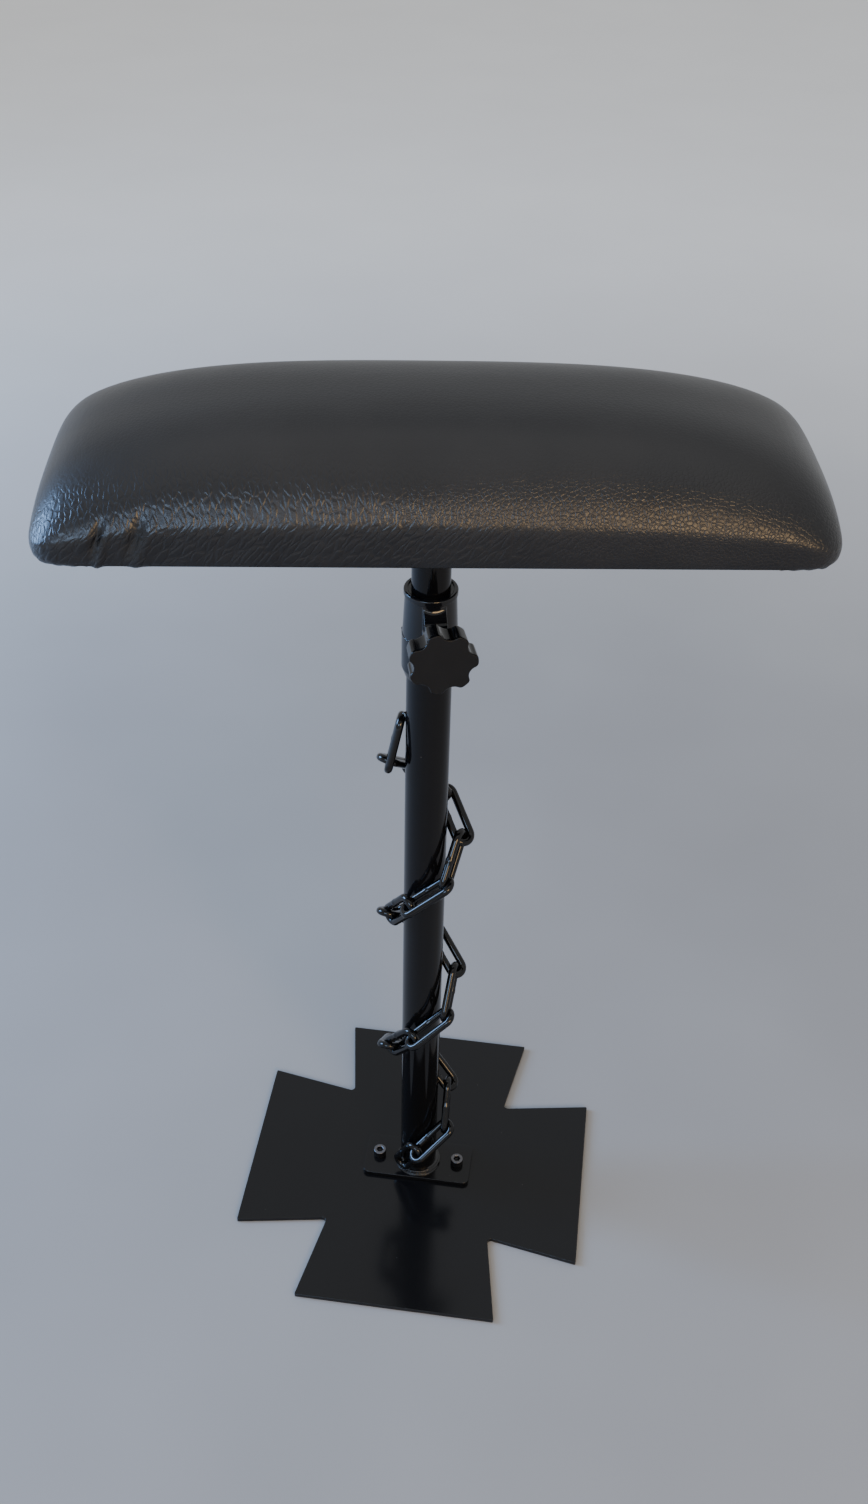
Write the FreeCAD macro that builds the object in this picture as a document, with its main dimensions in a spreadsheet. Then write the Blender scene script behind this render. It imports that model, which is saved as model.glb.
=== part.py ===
import FreeCAD, Part
import math
import os
import Sketcher

# A padded arm rest on a height-adjustable post, with a star-knob clamp, a welded chain
# wound up the tube and a flat cross-shaped foot. Lengths are in millimetres, angles in
# degrees. +Z is up and the origin is the middle of the foot's underside.

V = FreeCAD.Vector
UP = V(0, 0, 1)

doc = FreeCAD.newDocument("arm_rest_stand")
sheet = doc.addObject("Spreadsheet::Sheet", "Sizes")
nodes = []

SIZES = {
    "base plate": {
        "base_thickness": 4.8, "arm_reach": 177.8, "arm_tip_half": 100.8,
        "arm_root_half": 84.5, "arm_root_round": 4,
    },
    "foot flange": {
        "flange_length": 114, "flange_depth": 50, "flange_thickness": 5,
        "flange_corner": 6, "foot_weld_leg": 5,
    },
    "foot screws": {
        "foot_screw_spacing": 84, "foot_screw_diameter": 8, "foot_head_diameter": 13,
        "foot_head_height": 8, "foot_socket_width": 6, "foot_socket_depth": 4,
        "foot_hole_play": 0.5, "foot_thread_fit": 0.02, "foot_screw_recess": 0.6,
    },
    "tubes": {
        "tube_diameter": 38.1, "tube_wall": 1.65, "tube_top": 700,
        "post_gap": 1.525, "post_wall": 1.65, "post_length": 500,
        "plug_fit": 0.02, "plug_grip": 25, "plug_neck": 25, "plug_flange_play": 0.7,
        "plug_flange_thickness": 3, "slide_play": 0.05, "bush_end_play": 0.3,
    },
    "clamp collar": {
        "collar_grip": 40, "collar_rise": 42, "collar_foot_wall": 1.55,
        "collar_chamfer_height": 8, "collar_low_wall": 4.15, "collar_step": 0.5,
        "collar_top_wall": 1.95, "collar_rim_height": 5, "collar_rim_wall": 2.75,
        "collar_tube_fit": 0.03, "collar_post_play": 0.4,
        "collar_guide_height": 14,
        "lug_width": 18.6, "lug_depth": 10.95, "lug_below": 26, "lug_above": 20,
        "lug_slope": 7, "lug_edge": 3,
        "boss_diameter": 20, "boss_depth": 22.95, "boss_edge": 1.2,
    },
    "clamp screw": {
        "stud_above_tube": 12, "knob_azimuth": -73.3, "stud_diameter": 8,
        "insert_diameter": 13, "insert_length": 17, "insert_thread_fit": 0.05,
        "insert_fit": 0.02, "shoe_diameter": 9.8, "shoe_fit": 0.05, "shoe_length": 5,
        "shoe_post_gap": 0.1, "shoe_stud_gap": 0.05,
    },
    "star knob": {
        "knob_gap": 1.5, "knob_depth": 18, "knob_diameter": 56,
        "knob_lobes": 7, "knob_notch_radius": 8.5, "knob_notch_centre": 31.5,
        "knob_lobe_round": 4.2, "knob_first_lobe_angle": 3,
        "knob_hub_diameter": 20, "knob_hub_length": 3.5, "stud_in_knob": 14,
    },
    "pad mount": {
        "plate_length": 140, "plate_depth": 90, "plate_thickness": 5, "plate_corner": 8,
        "pad_screw_spacing_long": 110, "pad_screw_spacing_deep": 60,
        "pad_screw_diameter": 6, "pad_screw_play": 0.3, "pad_head_width": 10,
        "pad_head_height": 3.5, "pad_screw_bite": 11, "pad_screw_fit": 0.02,
    },
    "arm pad": {
        "pad_underside": 822.8, "pad_turn": 8.9, "pad_length": 584, "pad_width": 216,
        "pad_height": 90, "pad_end_height": 24, "pad_corner": 38, "pad_draw_in": 3,
        "cover_thickness": 1.2, "cover_edge_share": 2, "cover_flap_width": 34,
        "cover_play": 0.45, "board_thickness": 15,
        "dust_cover_thickness": 0.6, "dust_cover_lap": 12, "dust_cover_play": 0.3,
    },
    "chain": {
        "link_wire": 6.2, "link_length": 59.8, "link_inner_width": 9, "link_count": 19,
        "link_tube_play": 0.35, "chain_height_share": 0.83767, "link_turn_share": 0.90724,
        "flat_link_inset": 2, "flat_link_climb_angle": 8.4, "edge_link_climb_angle": -4.8,
        "first_link_azimuth_angle": -107.3, "first_link_gap": 2, "first_link_inset": 4.77,
        "first_link_turn_share": 0.8763, "first_link_rise_share": 1.029,
        "first_link_climb_angle": 20.7, "first_link_roll_angle": -9, "first_link_lean_angle": 10.3,
        "last_link_inset": 2.16, "last_link_turn_share": 0.5619, "last_link_rise_share": 0.72835,
        "last_link_climb_angle": 53, "last_link_roll_angle": -3.7, "last_link_lean_angle": -11.9,
        "chain_weld_radius": 6, "chain_weld_height": 9,
    },
}


def fill_sheet():
    """One row per size: its name, its value and its name again as the cell's alias."""
    row = 1
    for piece, sizes in SIZES.items():
        sheet.set("A%d" % row, piece)
        row += 1
        for name, value in sizes.items():
            sheet.set("A%d" % row, name)
            sheet.set("B%d" % row, str(value))
            sheet.setAlias("B%d" % row, name)
            row += 1
    doc.recompute()


def size(text):
    """Value of a size, or of a formula of sizes such as tube_top - collar_grip."""
    return float(sheet.evalExpression(text))


def bound(text):
    """The same formula as an expression that another object can hold."""
    words = []
    for word in text.replace("(", "( ").replace(")", " )").split():
        words.append("Sizes." + word if word[0].isalpha() else word)
    return " ".join(words)


def node(thing, name):
    thing.Label = name
    nodes.append(thing)
    return thing


def place(thing, turn=0, height=0):
    """Turn a piece about the upright axis, then lift it."""
    thing.Placement = FreeCAD.Placement(V(0, 0, height), FreeCAD.Rotation(UP, turn))


# Formulas that several pieces share

FLANGE_TOP = "base_thickness + flange_thickness"
COLLAR_BOTTOM = "tube_top - collar_grip"
COLLAR_TOP = "tube_top + collar_rise"
BOARD_BOTTOM = "pad_underside + cover_thickness"
TUBE_SKIN = "tube_diameter / 2"
TUBE_BORE = "( tube_diameter / 2 - tube_wall )"
POST_SKIN = "( tube_diameter / 2 - tube_wall - post_gap )"
POST_BORE = "( tube_diameter / 2 - tube_wall - post_gap - post_wall )"
STUD_HEIGHT = "tube_top + stud_above_tube"
BOSS_END = "tube_diameter / 2 + boss_depth"
KNOB_BACK = "( tube_diameter / 2 + boss_depth + knob_gap + knob_hub_length )"
KNOB_FACE = KNOB_BACK + " + knob_depth"
SHOE_START = "( tube_diameter / 2 - tube_wall - post_gap + shoe_post_gap )"
MATCH = 0.001  # how far apart two lengths count as the same


# Helpers for sketches, primitives and patterns

def tube(name, outer, inner, bottom, length):
    """A plain ring or tube about the upright axis."""
    solid = doc.addObject("Part::Cylinder", name + "_outside")
    solid.setExpression("Radius", bound(outer))
    solid.setExpression("Height", bound(length))
    hole = doc.addObject("Part::Cylinder", name + "_inside")
    hole.setExpression("Radius", bound(inner))
    hole.setExpression("Height", bound(length))
    for part in (solid, hole):
        part.setExpression("Placement.Base.z", bound(bottom))
    cut = doc.addObject("Part::Cut", name)
    cut.Base = solid
    cut.Tool = hole
    return node(cut, name)


def new_body(name):
    return node(doc.addObject("PartDesign::Body", name), name)


def new_sketch(body, name, role, lift=None):
    sketch = body.newObject("Sketcher::SketchObject", name)
    plane = next(f for f in body.Origin.OriginFeatures if f.Role == role)
    sketch.AttachmentSupport = [(plane, "")]
    sketch.MapMode = "FlatFace"
    if lift:
        sketch.setExpression("AttachmentOffset.Base.z", bound(lift))
    return sketch


def pin_point(sketch, line, end, point):
    """Hold one end of a line at (x formula, y formula)."""
    for kind, axis, text in (("DistanceX", -2, point[0]), ("DistanceY", -1, point[1])):
        if text == "0":
            sketch.addConstraint(Sketcher.Constraint("PointOnObject", line, end, axis))
            continue
        rule = Sketcher.Constraint(kind, -1, 1, line, end, size(text))
        sketch.setExpression("Constraints[%d]" % sketch.addConstraint(rule), bound(text))


def draw_outline(sketch, points):
    """A closed outline of straight lines through points given as pairs of formulas."""
    spots = [V(size(x), size(y), 0) for x, y in points]
    first = sketch.GeometryCount
    for i, spot in enumerate(spots):
        sketch.addGeometry(Part.LineSegment(spot, spots[(i + 1) % len(spots)]), False)
    for i in range(len(points)):
        following = first + (i + 1) % len(points)
        sketch.addConstraint(Sketcher.Constraint("Coincident", first + i, 2, following, 1))
        pin_point(sketch, first + i, 1, points[i])


def draw_circle(sketch, x, y, radius):
    circle = Part.Circle(V(size(x), size(y), 0), UP, size(radius))
    index = sketch.addGeometry(circle, False)
    pin_point(sketch, index, 3, (x, y))
    rule = Sketcher.Constraint("Radius", index, size(radius))
    sketch.setExpression("Constraints[%d]" % sketch.addConstraint(rule), bound(radius))


def pad_up(body, sketch, length, name="pad"):
    pad = body.newObject("PartDesign::Pad", name)
    pad.Profile = sketch
    pad.setExpression("Length", bound(length))
    return pad


def pocket(body, sketch, length, reversed_way, name="pocket"):
    cut = body.newObject("PartDesign::Pocket", name)
    cut.Profile = sketch
    cut.Reversed = reversed_way
    cut.setExpression("Length", bound(length))
    return cut


def revolve(body, sketch, name="turned"):
    """Turn a sketch about its own vertical axis."""
    turned = body.newObject("PartDesign::Revolution", name)
    turned.Profile = sketch
    turned.ReferenceAxis = (sketch, ["V_Axis"])
    turned.Angle = 360
    return turned


def groove(body, sketch, name="bored"):
    bored = body.newObject("PartDesign::Groove", name)
    bored.Profile = sketch
    bored.ReferenceAxis = (sketch, ["V_Axis"])
    bored.Angle = 360
    return bored


def picked_edges(base, chosen):
    """Names of the edges of a feature that a test picks out."""
    doc.recompute()
    return ["Edge%d" % (i + 1) for i, edge in enumerate(base.Shape.Edges) if chosen(edge)]


def round_edges(body, base, radius, chosen, name):
    rounded = body.newObject("PartDesign::Fillet", name)
    rounded.Base = (base, picked_edges(base, chosen))
    rounded.setExpression("Radius", bound(radius))
    return rounded


def break_edges(body, base, width, chosen, name):
    broken = body.newObject("PartDesign::Chamfer", name)
    broken.Base = (base, picked_edges(base, chosen))
    broken.setExpression("Size", bound(width))
    return broken


def is_upright(edge):
    low, high = edge.Vertexes[0].Point, edge.Vertexes[-1].Point
    across = math.hypot(low.x - high.x, low.y - high.y)
    return len(edge.Vertexes) == 2 and across < abs(low.z - high.z) * MATCH


def corner_test(half_x, half_y):
    """Picks upright edges that stand at the corners of a rectangle."""
    def chosen(edge):
        spot = edge.Vertexes[0].Point
        near = abs(abs(spot.x) - half_x) < MATCH and abs(abs(spot.y) - half_y) < MATCH
        return is_upright(edge) and near
    return chosen


# Foot

def base_plate():
    """Cross with four flared arms whose ends are straight; two tapped holes."""
    body = new_body("base_plate")
    sketch = new_sketch(body, "base_outline", "XY_Plane")
    points = []
    for x, y in (("", ""), ("-", ""), ("-", "-"), ("", "-")):
        root = (x + "arm_root_half", y + "arm_root_half")
        side = (x + "arm_reach", y + "arm_tip_half")
        top = (x + "arm_tip_half", y + "arm_reach")
        points += [side, root, top] if x == y else [top, root, side]
    draw_outline(sketch, [(minus(x), minus(y)) for x, y in points])
    plate = pad_up(body, sketch, "base_thickness")
    root = size("arm_root_half")
    round_edges(body, plate, "arm_root_round", corner_test(root, root), "roots")
    holes = new_sketch(body, "base_holes", "XY_Plane")
    for side in ("", "-"):
        draw_circle(holes, minus(side + "foot_screw_spacing") + " / 2", "0",
                    "foot_screw_diameter / 2 + foot_thread_fit")
    pocket(body, holes, "base_thickness", True, "tapped_holes")


def minus(text):
    """A leading minus as a formula that keeps its words apart."""
    return "0 - " + text[1:] if text.startswith("-") else text


def flange_plate():
    body = new_body("flange_plate")
    sketch = new_sketch(body, "flange_outline", "XY_Plane", "base_thickness")
    draw_rectangle(sketch, "flange_length", "flange_depth")
    plate = pad_up(body, sketch, "flange_thickness")
    half_long, half_deep = size("flange_length / 2"), size("flange_depth / 2")
    round_edges(body, plate, "flange_corner", corner_test(half_long, half_deep), "corners")
    holes = new_sketch(body, "flange_holes", "XY_Plane", "base_thickness")
    for side in ("", "-"):
        draw_circle(holes, minus(side + "foot_screw_spacing") + " / 2", "0",
                    "foot_screw_diameter / 2 + foot_hole_play")
    pocket(body, holes, "flange_thickness", True, "screw_holes")


def draw_rectangle(sketch, length, depth):
    right, left = length + " / 2", "0 - " + length + " / 2"
    back, front = depth + " / 2", "0 - " + depth + " / 2"
    draw_outline(sketch, [(left, front), (right, front), (right, back), (left, back)])


def foot_screws():
    """Two socket head cap screws; the second is a mirrored copy in the same node."""
    head_z = size(FLANGE_TOP)
    radius = size("foot_screw_diameter / 2")
    shank_end = size("foot_screw_recess")
    head_radius, head_height = size("foot_head_diameter / 2"), size("foot_head_height")
    screw = turned_solid([
        V(0, 0, shank_end), V(radius, 0, shank_end), V(radius, 0, head_z),
        V(head_radius, 0, head_z), V(head_radius, 0, head_z + head_height), V(0, 0, head_z + head_height),
    ])
    socket_radius = size("foot_socket_width / 2") / math.cos(math.radians(30))
    floor = head_z + head_height - size("foot_socket_depth")
    socket = prism(6, socket_radius, floor, head_height)
    screw = screw.cut(socket)
    half = size("foot_screw_spacing / 2")
    return grouped("flange_screws", [moved(screw, V(side * half, 0, 0)) for side in (1, -1)])


def turned_solid(profile):
    face = Part.Face(Part.makePolygon(profile + profile[:1]))
    return face.revolve(V(0, 0, 0), UP, 360)


def prism(sides, radius, bottom, height):
    turn = 2 * math.pi / sides
    ring = [V(radius * math.cos(i * turn), radius * math.sin(i * turn), bottom) for i in range(sides)]
    return Part.Face(Part.makePolygon(ring + ring[:1])).extrude(V(0, 0, height))


def moved(shape, shift):
    copy = shape.copy()
    copy.translate(shift)
    return copy


def grouped(name, solids):
    thing = doc.addObject("Part::Feature", name)
    thing.Shape = solids[0] if len(solids) == 1 else Part.makeCompound(solids)
    return node(thing, name)


def foot_weld():
    """Bead round the tube's foot on the flange."""
    radius, height, leg = size(TUBE_SKIN), size(FLANGE_TOP), size("foot_weld_leg")
    return turned_solid([V(radius, 0, height), V(radius + leg, 0, height), V(radius, 0, height + leg)])


# Clamp collar

def lock_collar():
    """Moulded sleeve: turned outside, upright lug and round boss in front, stepped bore."""
    body = new_body("lock_collar")
    outside = new_sketch(body, "sleeve_outside", "XZ_Plane")
    low_part, rim = TUBE_SKIN + " + collar_low_wall", TUBE_SKIN + " + collar_rim_wall"
    rim_start = COLLAR_TOP + " - collar_rim_height"
    draw_outline(outside, [
        ("0", COLLAR_BOTTOM), (TUBE_SKIN + " + collar_foot_wall", COLLAR_BOTTOM),
        (low_part, COLLAR_BOTTOM + " + collar_chamfer_height"),
        (low_part, "tube_top"), (low_part + " - collar_step", "tube_top"),
        (TUBE_SKIN + " + collar_top_wall", rim_start), (rim, rim_start),
        (rim, COLLAR_TOP), ("0", COLLAR_TOP),
    ])
    revolve(body, outside, "sleeve")
    side_view = new_sketch(body, "lug_side", "YZ_Plane")
    low, high = STUD_HEIGHT + " - lug_below", STUD_HEIGHT + " + lug_above"
    lug_front = "0 - " + TUBE_SKIN + " - lug_depth"
    draw_outline(side_view, [
        ("0", low), ("0 - " + TUBE_SKIN + " - collar_foot_wall", low),
        (lug_front, low + " + lug_slope"), (lug_front, high + " - lug_slope"),
        ("0 - " + TUBE_SKIN + " - collar_top_wall", high), ("0", high),
    ])
    lug = pad_up(body, side_view, "lug_width", "lug")
    lug.Midplane = True
    half = size("lug_width / 2")
    front = size(lug_front)
    break_edges(body, lug, "lug_edge",
                lambda edge: all(abs(abs(p.Point.x) - half) < MATCH and abs(p.Point.y - front) < MATCH
                                 for p in edge.Vertexes), "lug_broken")
    boss_end = new_sketch(body, "boss_end", "XZ_Plane")
    draw_circle(boss_end, "0", STUD_HEIGHT, "boss_diameter / 2")
    boss = pad_up(body, boss_end, BOSS_END, "boss")
    reach = size(BOSS_END)
    break_edges(body, boss, "boss_edge",
                lambda edge: all(abs(p.Point.y + reach) < MATCH for p in edge.Vertexes), "boss_broken")
    bores = new_sketch(body, "bores", "XZ_Plane")
    tube_hole = "tube_diameter / 2 + collar_tube_fit"
    post_hole, guide_hole = POST_SKIN + " + collar_post_play", POST_SKIN + " + slide_play"
    guide = COLLAR_TOP + " - collar_guide_height"
    draw_outline(bores, [
        ("0", COLLAR_BOTTOM), (tube_hole, COLLAR_BOTTOM), (tube_hole, "tube_top"),
        (post_hole, "tube_top"), (post_hole, guide), (guide_hole, guide),
        (guide_hole, COLLAR_TOP), ("0", COLLAR_TOP),
    ])
    groove(body, bores, "stepped_bore")
    shoe_hole = new_sketch(body, "shoe_hole", "XZ_Plane")
    draw_circle(shoe_hole, "0", STUD_HEIGHT, "shoe_diameter / 2 + shoe_fit")
    pocket(body, shoe_hole, BOSS_END + " - insert_length", True, "shoe_way")
    insert_hole = new_sketch(body, "insert_hole", "XZ_Plane", BOSS_END + " - insert_length")
    draw_circle(insert_hole, "0", STUD_HEIGHT, "insert_diameter / 2 + insert_fit")
    pocket(body, insert_hole, "insert_length", True, "insert_seat")
    place(body, size("knob_azimuth") + 90)
    return body


# Clamp screw: insert, shoe, stud and knob are modelled along Z and laid outwards

def outwards(thing):
    """Lay a piece that is modelled along Z along the stud's line, with its X to the right."""
    turn = FreeCAD.Rotation(UP, size("knob_azimuth") + 90) * FreeCAD.Rotation(V(1, 0, 0), 90)
    thing.Placement = FreeCAD.Placement(V(0, 0, size(STUD_HEIGHT)), turn)


def threaded_insert():
    ring = tube("threaded_insert", "insert_diameter / 2", "stud_diameter / 2 + insert_thread_fit",
                BOSS_END + " - insert_length", "insert_length")
    outwards(ring)


def clamp_shoe():
    """Round pad whose inner end is hollowed to the post."""
    start = size(SHOE_START)
    length = size("shoe_length")
    radius = size("shoe_diameter / 2")
    block = Part.makeCylinder(radius, start + length)
    post = Part.makeCylinder(start, 4 * radius, V(0, -2 * radius, 0), V(0, 1, 0))
    shoe = block.cut(post)
    thing = grouped("clamp_shoe", [shoe.Solids[0]])
    outwards(thing)


def knob_stud():
    stud = doc.addObject("Part::Cylinder", "knob_stud")
    stud.setExpression("Radius", bound("stud_diameter / 2"))
    start = SHOE_START + " + shoe_length + shoe_stud_gap"
    stud.setExpression("Height", bound("%s + stud_in_knob - ( %s )" % (KNOB_BACK, start)))
    node(stud, "knob_stud")
    outwards(stud)
    stud.Placement.Base = stud.Placement.Base + stud.Placement.Rotation.multVec(V(0, 0, size(start)))


def knob_head():
    """Turned head with rounded notches cut round it, on a round hub."""
    body = new_body("knob_head")
    outline = new_sketch(body, "knob_side", "XZ_Plane")
    hub_start = KNOB_BACK + " - knob_hub_length"
    draw_outline(outline, [
        ("0", hub_start), ("knob_hub_diameter / 2", hub_start), ("knob_hub_diameter / 2", KNOB_BACK),
        ("knob_diameter / 2", KNOB_BACK), ("knob_diameter / 2", KNOB_FACE), ("0", KNOB_FACE),
    ])
    revolve(body, outline, "head")
    notch = new_sketch(body, "notch", "XY_Plane", KNOB_BACK + " - knob_hub_length")
    draw_circle(notch, "knob_notch_centre", "0", "knob_notch_radius")
    cut = pocket(body, notch, "knob_depth + knob_hub_length", True, "notch_cut")
    doc.recompute()
    around = body.newObject("PartDesign::PolarPattern", "notches")
    around.Originals = [cut]
    around.Axis = (notch, ["N_Axis"])
    around.Angle = 360
    around.setExpression("Occurrences", bound("knob_lobes"))
    body.Tip = around
    doc.recompute()
    back, face = size(KNOB_BACK), size(KNOB_FACE)
    lobes = round_edges(body, around, "knob_lobe_round",
                        lambda edge: spans(edge, back, face), "lobes")
    body.Tip = lobes
    bore = new_sketch(body, "stud_bore", "XY_Plane", KNOB_BACK + " - knob_hub_length")
    draw_circle(bore, "0", "0", "stud_diameter / 2")
    body.Tip = pocket(body, bore, "knob_hub_length + stud_in_knob", True, "stud_hole")
    outwards(body)
    notch_turn = size("knob_first_lobe_angle") + 180 / size("knob_lobes")
    body.Placement.Rotation = body.Placement.Rotation * FreeCAD.Rotation(UP, notch_turn)


def spans(edge, low, high):
    """True for an edge that runs from one height to the other."""
    heights = sorted(p.Point.z for p in edge.Vertexes)
    return len(heights) == 2 and abs(heights[0] - low) < MATCH and abs(heights[1] - high) < MATCH


# Post with its lower guide

PLATE_TOP = "pad_underside + cover_thickness - dust_cover_thickness"
POST_TOP = PLATE_TOP + " - plate_thickness"
POST_BOTTOM = POST_TOP + " - post_length"


def post_plug():
    """Plug in the post's lower end; its neck carries the guide bush above a flange."""
    body = new_body("post_plug")
    sketch = new_sketch(body, "plug_side", "XZ_Plane")
    neck = POST_BORE + " - plug_fit"
    shelf = POST_BOTTOM + " - plug_neck"
    bottom = shelf + " - plug_flange_thickness"
    flange = TUBE_BORE + " - plug_flange_play"
    draw_outline(sketch, [
        ("0", bottom), (flange, bottom), (flange, shelf), (neck, shelf),
        (neck, POST_BOTTOM + " + plug_grip"), ("0", POST_BOTTOM + " + plug_grip"),
    ])
    revolve(body, sketch)


def guide_bush():
    tube("guide_bush", TUBE_BORE + " - slide_play", POST_BORE + " - plug_fit + slide_play",
         POST_BOTTOM + " - plug_neck + bush_end_play / 2", "plug_neck - bush_end_play")


# Pad mount

def mount_plate():
    """Plate with four screw holes, welded on the post's upper end."""
    top, thickness = size(PLATE_TOP), size("plate_thickness")
    low = top - thickness
    plate = rounded_block(size("plate_length / 2"), size("plate_depth / 2"), size("plate_corner"), low, top)
    hole = Part.makeCylinder(size("pad_screw_diameter / 2 + pad_screw_play"), thickness, V(0, 0, low))
    for drill in at_pad_screws(hole):
        plate = plate.cut(drill)
    place(grouped("mount_plate", [plate]), size("pad_turn"))


def at_pad_screws(shape):
    """Copies of a shape at the four pad screws, turned with the pad."""
    half_long, half_deep = size("pad_screw_spacing_long / 2"), size("pad_screw_spacing_deep / 2")
    return [moved(shape, V(x * half_long, y * half_deep, 0)) for x in (1, -1) for y in (1, -1)]


def hexagon(width, bottom, height):
    """Upright hexagonal bar of a given width across its flats."""
    return prism(6, width / 2 / math.cos(math.radians(30)), bottom, height)


def mount_screws():
    """Four hexagon-headed wood screws from below the plate into the board."""
    top = size(POST_TOP)
    head = hexagon(size("pad_head_width"), top - size("pad_head_height"), size("pad_head_height"))
    end = size(BOARD_BOTTOM) + size("pad_screw_bite")
    shank = Part.makeCylinder(size("pad_screw_diameter / 2"), end - top, V(0, 0, top))
    place(grouped("mount_screws", at_pad_screws(head.fuse(shank))), size("pad_turn"))


# Arm pad. Its form is lofted through upright sections across the pad. A section is a
# closed outline of lines and arcs; its top falls off like a flat dome to both sides and,
# from section to section, to both ends.

DOME_SIDE_POWERS = (2.7, 2.1)
DOME_END_POWERS = (3.1, 2.6)
SECTION_ANGLES = (0, 16, 31, 44, 55, 64, 72, 79, 85, 90)
TOP_SHARES = (1, 0.98, 0.94, 0.88, 0.79, 0.67, 0.52, 0.34, 0.16, 0)


def dome(share, powers):
    """Height share of a flat dome at a share of its half width: 1 in the middle, 0 at the rim."""
    return (1 - min(abs(share), 1) ** powers[0]) ** (1 / powers[1])


def pad_section(x, inset, floor):
    """One section wire at x, set in from the pad's outside by inset, from floor upwards."""
    half_length = size("pad_length / 2") - inset
    corner = size("pad_corner") - inset
    side = size("pad_width / 2") - inset
    past = max(abs(x) - (half_length - corner), 0)
    half = side - corner + math.sqrt(max(corner ** 2 - past ** 2, 0))
    shoulder = size("cover_thickness + board_thickness")
    end_height = size("pad_end_height") - inset
    height = end_height + (size("pad_height") - inset - end_height) * dome(x / half_length, DOME_END_POWERS)
    draw_in, edge = size("pad_draw_in"), size("cover_edge_share * cover_thickness")
    foot = half - draw_in
    arch = [V(x, share * half, shoulder + (height - shoulder) * dome(share, DOME_SIDE_POWERS))
            for share in TOP_SHARES]
    arch += [V(p.x, -p.y, p.z) for p in reversed(arch[:-1])]
    edges = []
    if floor > 0:
        low_right, low_left = V(x, foot, floor), V(x, -foot, floor)
        edges.append(Part.makeLine(low_left, low_right))
        edges.append(Part.makeLine(low_right, arch[0]))
    else:
        diagonal = edge * (1 - math.sqrt(0.5))
        start, mid, end = V(x, foot - edge, 0), V(x, foot - diagonal, diagonal), V(x, foot, edge)
        mirror = [V(p.x, -p.y, p.z) for p in (start, mid, end)]
        low_left = mirror[2]
        edges.append(Part.makeLine(mirror[2], mirror[1]))
        edges.append(Part.makeLine(mirror[1], mirror[0]))
        edges.append(Part.makeLine(mirror[0], start))
        edges.append(Part.makeLine(start, mid))
        edges.append(Part.makeLine(mid, end))
        edges.append(Part.makeLine(end, arch[0]))
    for i in range(len(arch) - 1):
        edges.append(Part.makeLine(arch[i], arch[i + 1]))
    edges.append(Part.makeLine(arch[-1], low_left))
    return Part.Wire(edges)


def pad_form(inset, floor):
    half_length = size("pad_length / 2") - inset
    stations = [half_length * math.sin(math.radians(angle)) for angle in SECTION_ANGLES]
    stations = [-x for x in reversed(stations[1:])] + stations
    return Part.makeLoft([pad_section(x, inset, floor) for x in stations], True, True)


def plain_block(half_length, half_width, bottom, top):
    return Part.makeBox(2 * half_length, 2 * half_width, top - bottom, V(-half_length, -half_width, bottom))


def rounded_block(half_length, half_width, corner, bottom, top):
    """Upright block with round corners."""
    block = plain_block(half_length, half_width, bottom, top)
    return block.makeFillet(corner, [edge for edge in block.Edges if is_upright(edge)])


def pad_node(name, solids):
    place(grouped(name, solids), size("pad_turn"), size("pad_underside"))


def board_outline(inset):
    """Half length, half width and corner of the board, set in by inset. Its corners are as
    round as the pad's own, which leaves the cover room to gather there."""
    gap = size("pad_draw_in + cover_thickness + cover_play") + inset
    return size("pad_length / 2") - gap, size("pad_width / 2") - gap, size("pad_corner") - inset


def pad_board():
    low = size("cover_thickness")
    high = low + size("board_thickness")
    board = rounded_block(*board_outline(0), low, high)
    pilot_radius = size("pad_screw_diameter / 2 + pad_screw_fit")
    pilot = Part.makeCylinder(pilot_radius, size("pad_screw_bite"), V(0, 0, low))
    for hole in at_pad_screws(pilot):
        board = board.cut(hole)
    pad_node("pad_board", [board.Solids[0]])


def pad_foam():
    """Foam block on the board, with the pad's crown."""
    inset = size("cover_thickness + cover_play")
    form = pad_form(inset, size("cover_thickness"))
    top = size("pad_height")
    board_top = size("cover_thickness + board_thickness")
    above = plain_block(size("pad_length"), size("pad_width"), board_top, board_top + top)
    pad_node("pad_foam", [form.common(above).Solids[0]])


def pad_cover():
    """Skin over foam and board, turned under the board in a flap all round."""
    skin = size("cover_thickness")
    shell = pad_form(0, 0).cut(pad_form(skin, skin))
    half_long, half_wide, _ = board_outline(size("cover_flap_width"))
    opening = plain_block(half_long, half_wide, -skin, 2 * skin)
    pad_node("pad_cover", [shell.cut(opening).Solids[0]])


def dust_cover():
    """Thin sheet on the board inside the flap, its rim stepping down over the flap."""
    sheet_wall, lap = size("dust_cover_thickness"), size("dust_cover_lap")
    skin, play = size("cover_thickness"), size("dust_cover_play")
    half_long, half_wide, _ = board_outline(size("cover_flap_width") + play)
    panel = plain_block(half_long, half_wide, -sheet_wall, skin)
    hollow = plain_block(half_long - sheet_wall, half_wide - sheet_wall, -2 * skin, skin - sheet_wall)
    rim = plain_block(half_long + lap, half_wide + lap, -sheet_wall, 0)
    cover = panel.fuse(rim).cut(hollow)
    slit = hexagon(size("pad_screw_diameter + 2 * pad_screw_play"), -2 * skin, 4 * skin)
    for hole in at_pad_screws(slit):
        cover = cover.cut(hole)
    pad_node("dust_cover", [cover.removeSplitter().Solids[0]])


# Chain. A link is a ring of round bar drawn with flat facets: straight sides and a bend
# at each end. Flat links lie along the tube and edge links stand on it, by turns.

BAR_SIDES = 8
BEND_STEPS = 5


EDGE_LINK_RADIUS = "tube_diameter / 2 + link_wire + link_inner_width / 2 + link_tube_play"


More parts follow.
